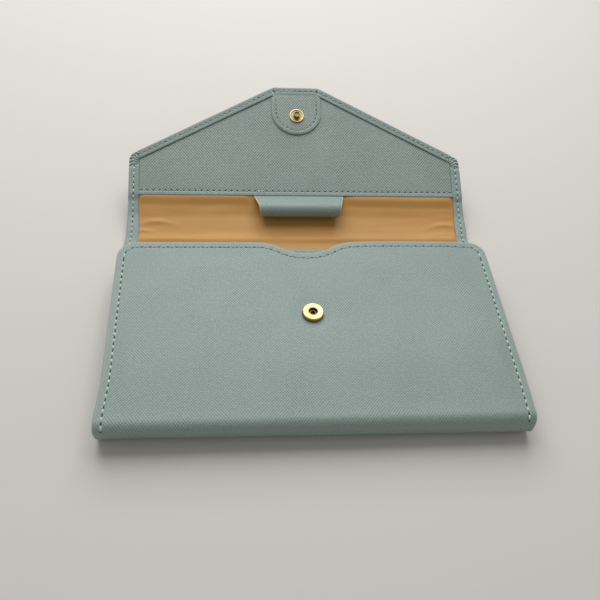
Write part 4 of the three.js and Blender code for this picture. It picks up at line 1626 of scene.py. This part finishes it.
def makeSnaps():
    socket = [(1.65, 0.0), (5.5, 0.0), (5.5, 1.2), (5.15, 2.08), (4.9, 2.2), (2.55, 2.2), (2.3, 2.08),
              (2.3, 1.7), (3.4, 1.7), (3.4, 0.6), (1.65, 0.6)]
    # Painted shade in the socket's hole and on its outer wall.
    lathe("snapSocket", eased(socket, 0.16), onFront, "front", "snap_socket",
          lambda radius, height: 0.9 if height < 1.85 and radius < 3.5 else 0.6 * (height < 1.5))
    rivet = [(1.0, -1.25), (3.2, -1.25), (3.2, -0.9), (1.5, -0.9), (1.5, 0.6), (2.1, 0.6), (2.1, 0.75),
             (1.5, 0.9), (1.0, 0.9)]
    # Painted shade over the rivet, darkest in its bore.
    lathe("snapRivet", eased(rivet, 0.08), onFront, "front", "snap_rivet",
          lambda radius, height: 1.0 if radius < 1.4 else 0.6)
    base = snap["studBase"]
    height = snap["closedHeight"] - wallet["thickness"] - base - snap["clear"]
    neckTop = height - snap["bead"]
    beadLow, beadHigh = lerp(neckTop, height, 0.33), lerp(neckTop, height, 0.67)
    stud = [(1.15, 0.8), (1.15, 0.0), (4.35, 0.0), (4.35, 0.6), (4.15, 0.8), (3.75, 0.8), (3.35, 0.4),
            (1.6, 0.4), (1.6, neckTop), (2.0, beadLow), (2.0, beadHigh), (1.8, height), (1.5, height),
            (1.4, height - 0.7), (0.01, height - 0.7), (0.01, 0.8)]
    # Painted shade round the stud's neck and in the knob's hollow end, lighter shade on the knob's top and
    # inside the flange.
    lathe("snapStud", [(r, base + z) for r, z in eased(stud, 0.14)], onFlap, "flap", "snap_stud",
          lambda radius, level: (0.6 if radius < 2.2 and level < base + height - 0.1
                                 else 0.25 * (radius < 3.6)))
    cap = [(6.0 * sin(a), -0.2 - 1.2 * cos(a)) for a in (pi / 2 * i / 16 for i in range(17))]
    cap[0] = (0.01, cap[0][1])
    cap += [(5.9, -0.1), (1.0, -0.1), (1.0, base + 0.4), (0.01, base + 0.4)]
    lathe("snapCap", cap, onFlap, "flap", "snap_cap")


makeSnaps()
print("snaps made")


# Pockets on the inside of the front and back

pockets = {
    "half": 93.4,
    "bottom": -47.25,
    "slotTop": 34.75,
    "slotStep": 11.0,
    "slotLevel": 3.8,
    "slotRise": 0.7,
    "middle": 1.5,
    "passportTop": 26.75,
    "thumbRound": 11.0,
    "windowHalf": 34,
    "windowHigh": 36,
    "windowBelow": 12,
    "frameLow": 5.75,
    "frameHigh": 6.2,
    "pitch": 2.8,
}
coins = {"foot": -50.0, "top": 22.0, "bandLow": 30.0, "bandTop": 44.0, "low": 2.9, "high": 3.7, "pitch": 3.2}


def pocketFace(high, head):
    return lambda x, s: high - 0.06 * hump(head - s, 2.6, 0.7) + 0.04 * ripple(x, s, 18, 30.0)


def pocketPanel(name, node, body, place, grid, low, face, lines, pitch, edge=0.25, seam=None):
    skin = Skin()
    thinPanel(skin, grid, place, lambda x, s: low, face, edge)
    skin.finish(name, [pocketLeather], "pocket_leather", body, node)
    row = Skin()
    for line in lines:
        sew(row, densePath(line), pitch, place, seam or face, size=0.8)
    row.finishStitches(name + "Stitches", "pocket_leather", body)


def densePath(points, step=2.0):
    path = []
    for a, b in zip(points, points[1:]):
        count = max(int(hypot(b[0] - a[0], b[1] - a[1]) / step), 1)
        path += [(lerp(a[0], b[0], i / count), lerp(a[1], b[1], i / count)) for i in range(count)]
    return path + [points[-1]]


def makeCardSlots():
    left, right, bottom = -pockets["half"], -pockets["middle"], pockets["bottom"]
    for index in range(2):
        level = pockets["slotLevel"] + index * pockets["slotRise"]
        top = pockets["slotTop"] - index * pockets["slotStep"]
        pocketPanel(f"cardSlot{index + 1}", f"card_slot_{index + 1}", "front", frontPlace,
                    rectGrid(left, bottom, right, top, 3.0, 2.0), level, pocketFace(level + 0.5, top),
                    [[(left + 2, top - 2.6), (right - 2, top - 2.6)]], pockets["pitch"])


# The third slot is a frame with a window.
def makeWindowSlot():
    left, right, bottom = -pockets["half"], -pockets["middle"], pockets["bottom"]
    top = pockets["slotTop"] - 2 * pockets["slotStep"]
    middle, half, head = (left + right) / 2, pockets["windowHalf"], top - pockets["windowBelow"]
    window = (middle - half, head - pockets["windowHigh"], middle + half, head)
    skin = Skin()

    def ringOf(box, radius, level, grow):
        x0, y0, x1, y1 = box[0] - grow, box[1] - grow, box[2] + grow, box[3] + grow
        points = []
        for cx, cy, start in ((x0, y0, 180), (x1, y0, 270), (x1, y1, 0), (x0, y1, 90)):
            ax = cx + (radius if cx == x0 else -radius)
            ay = cy + (radius if cy == y0 else -radius)
            for angle in (radians(start + 90 * i / 8) for i in range(9)):
                points.append((ax + radius * cos(angle), ay + radius * sin(angle)))
        return [skin.put(frontPlace, x, s, level, 0.3 if grow else 0.0) for x, s in points]

    near, far = pockets["frameLow"], pockets["frameHigh"]
    outside = ((near, -0.15), (near + 0.12, 0.0), (far - 0.12, 0.0), (far, -0.15))
    inside = ((far, 0.15), (far - 0.12, 0.0), (near + 0.12, 0.0), (near, 0.15))
    rings = [ringOf((left, bottom, right, top), 2.0 + grow, level, grow) for level, grow in outside]
    rings += [ringOf(window, 3.0 + grow, level, grow) for level, grow in inside]
    skin.quads(rings + rings[:1], closed=True)
    skin.finish("cardSlot3", [pocketLeather], "pocket_leather", "front", "card_slot_3")
    x0, y0, x1, y1 = window[0] - 2, window[1] - 2, window[2] + 2, window[3] + 2
    row = Skin()
    for path in ([(x0, y0), (x1, y0), (x1, y1), (x0, y1), (x0, y0)],
                 [(left + 1.8, bottom + 1.8), (right - 1.8, bottom + 1.8)]):
        sew(row, densePath(path), pockets["pitch"], frontPlace, lambda x, s: far, size=0.75)
    row.finishStitches("cardSlotStitches", "pocket_leather", "front")


def makePassportPocket():
    left, right, bottom, top = pockets["middle"], pockets["half"], pockets["bottom"], pockets["passportTop"]
    centre, thumb = (left + right) / 2, pockets["thumbRound"]
    grid = []
    for i in range(61):
        x = lerp(left, right, i / 60)
        head = top
        if abs(x - centre) < thumb:
            head = top - sqrt(max(thumb ** 2 - (x - centre) ** 2, 0.0))
        grid.append([(x, lerp(bottom, head, j / 24)) for j in range(25)])
    line = [(left + 2, top - 2.6), (left + 2, bottom + 2), (right - 2, bottom + 2), (right - 2, top - 2.6)]
    pocketPanel("passportPocket", "passport_pocket", "front", frontPlace, grid, pockets["slotLevel"],
                lambda x, s: 4.6 + 0.04 * ripple(x, s, 18, 30.0), [line], pockets["pitch"], 0.2,
                lambda x, s: 4.6)


def makeCoinPocket():
    left, right, top = -pockets["half"], pockets["half"], coins["top"]
    foot, low, high = coins["foot"], coins["bandLow"], coins["bandTop"]
    panelLines = [[(left + 2, top - 2), (left + 2, foot + 2), (right - 2, foot + 2), (right - 2, top - 2)],
                  [(left + 3, top - 2), (right - 3, top - 2)]]
    bandLines = [[(left + 3, low + 2), (right - 3, low + 2)], [(left + 2, high - 2), (right - 2, high - 2)]]
    for name, node, start, end, lines in (("coinPocketPanel", "coin_pocket_panel", foot, top, panelLines),
                                          ("coinPocketBand", "coin_pocket_band", low, high, bandLines)):
        pocketPanel(name, node, "back", chainPlace, rectGrid(left, start, right, end, 2.5), coins["low"],
                    pocketFace(coins["high"], end), lines, coins["pitch"])
    skin = Skin()
    thinPanel(skin, rectGrid(left, 19.0, right, 33.0, 1.5), chainPlace, lambda x, s: 2.4,
              lambda x, s: 2.68, 0.1)
    skin.finish("zipTape", [zipTape], "zip_tape", "back", "zip_tape")


makeCardSlots()
makeWindowSlot()
makePassportPocket()
makeCoinPocket()
print("pockets made")


# CAD nodes that stay get a finer finish
keptFinish = {
    "back_board": greyBoard, "front_board": greyBoard, "flap_board": greyBoard, "id_window": windowFilm,
    "zip_teeth": zipGold, "zip_slider": zipGold, "zip_pull": zipGold, "snap_spring": snapGold,
}
for name, material in keptFinish.items():
    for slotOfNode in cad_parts[name].material_slots:
        slotOfNode.material = material


# Floor, light and world

studio = {
    "floor": srgb(218, 214, 208),
    "floorLight": srgb(222, 218, 212),
    "floorHalf": 8.0,
    "floorGap": 0.00001,
    "keyPlace": (-0.03, 0.56, 0.69),
    "keySize": 0.9,
    "keyPower": 7.4,
    "sky": 0.3,
}


def makeStudio():
    shader = Shader("paleFloor")
    material = shader.finish({
        "Base Color": shader.blendColors(shader.solidCloud(3.0, 2.0), studio["floor"], studio["floorLight"]),
        "Roughness": 0.75,
    })
    mesh = bpy.data.meshes.new("studioFloor")
    half = studio["floorHalf"]
    corners = [(x * half, y * half, 0) for x, y in ((-1, -1), (1, -1), (1, 1), (-1, 1))]
    mesh.from_pydata(corners, [], [(0, 1, 2, 3)])
    mesh.materials.append(material)
    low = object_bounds()[0][2]
    floor = addObject("studioFloor", mesh)
    floor.location.z = low - studio["floorGap"]
    lamp = bpy.data.lights.new("softKey", "AREA")
    lamp.energy = studio["keyPower"]
    lamp.size = studio["keySize"]
    key = addObject("softKey", lamp)
    key.location = studio["keyPlace"]
    key.rotation_euler = Vector(studio["keyPlace"]).to_track_quat("Z", "Y").to_euler()
    world = bpy.data.worlds.new("studio")
    world.use_nodes = True
    background = world.node_tree.nodes["Background"]
    background.inputs[0].default_value = (1, 1, 1, 1)
    background.inputs[1].default_value = studio["sky"]
    bpy.context.scene.world = world
    bpy.context.scene.view_settings.view_transform = "Standard"


makeStudio()

print("scene made")
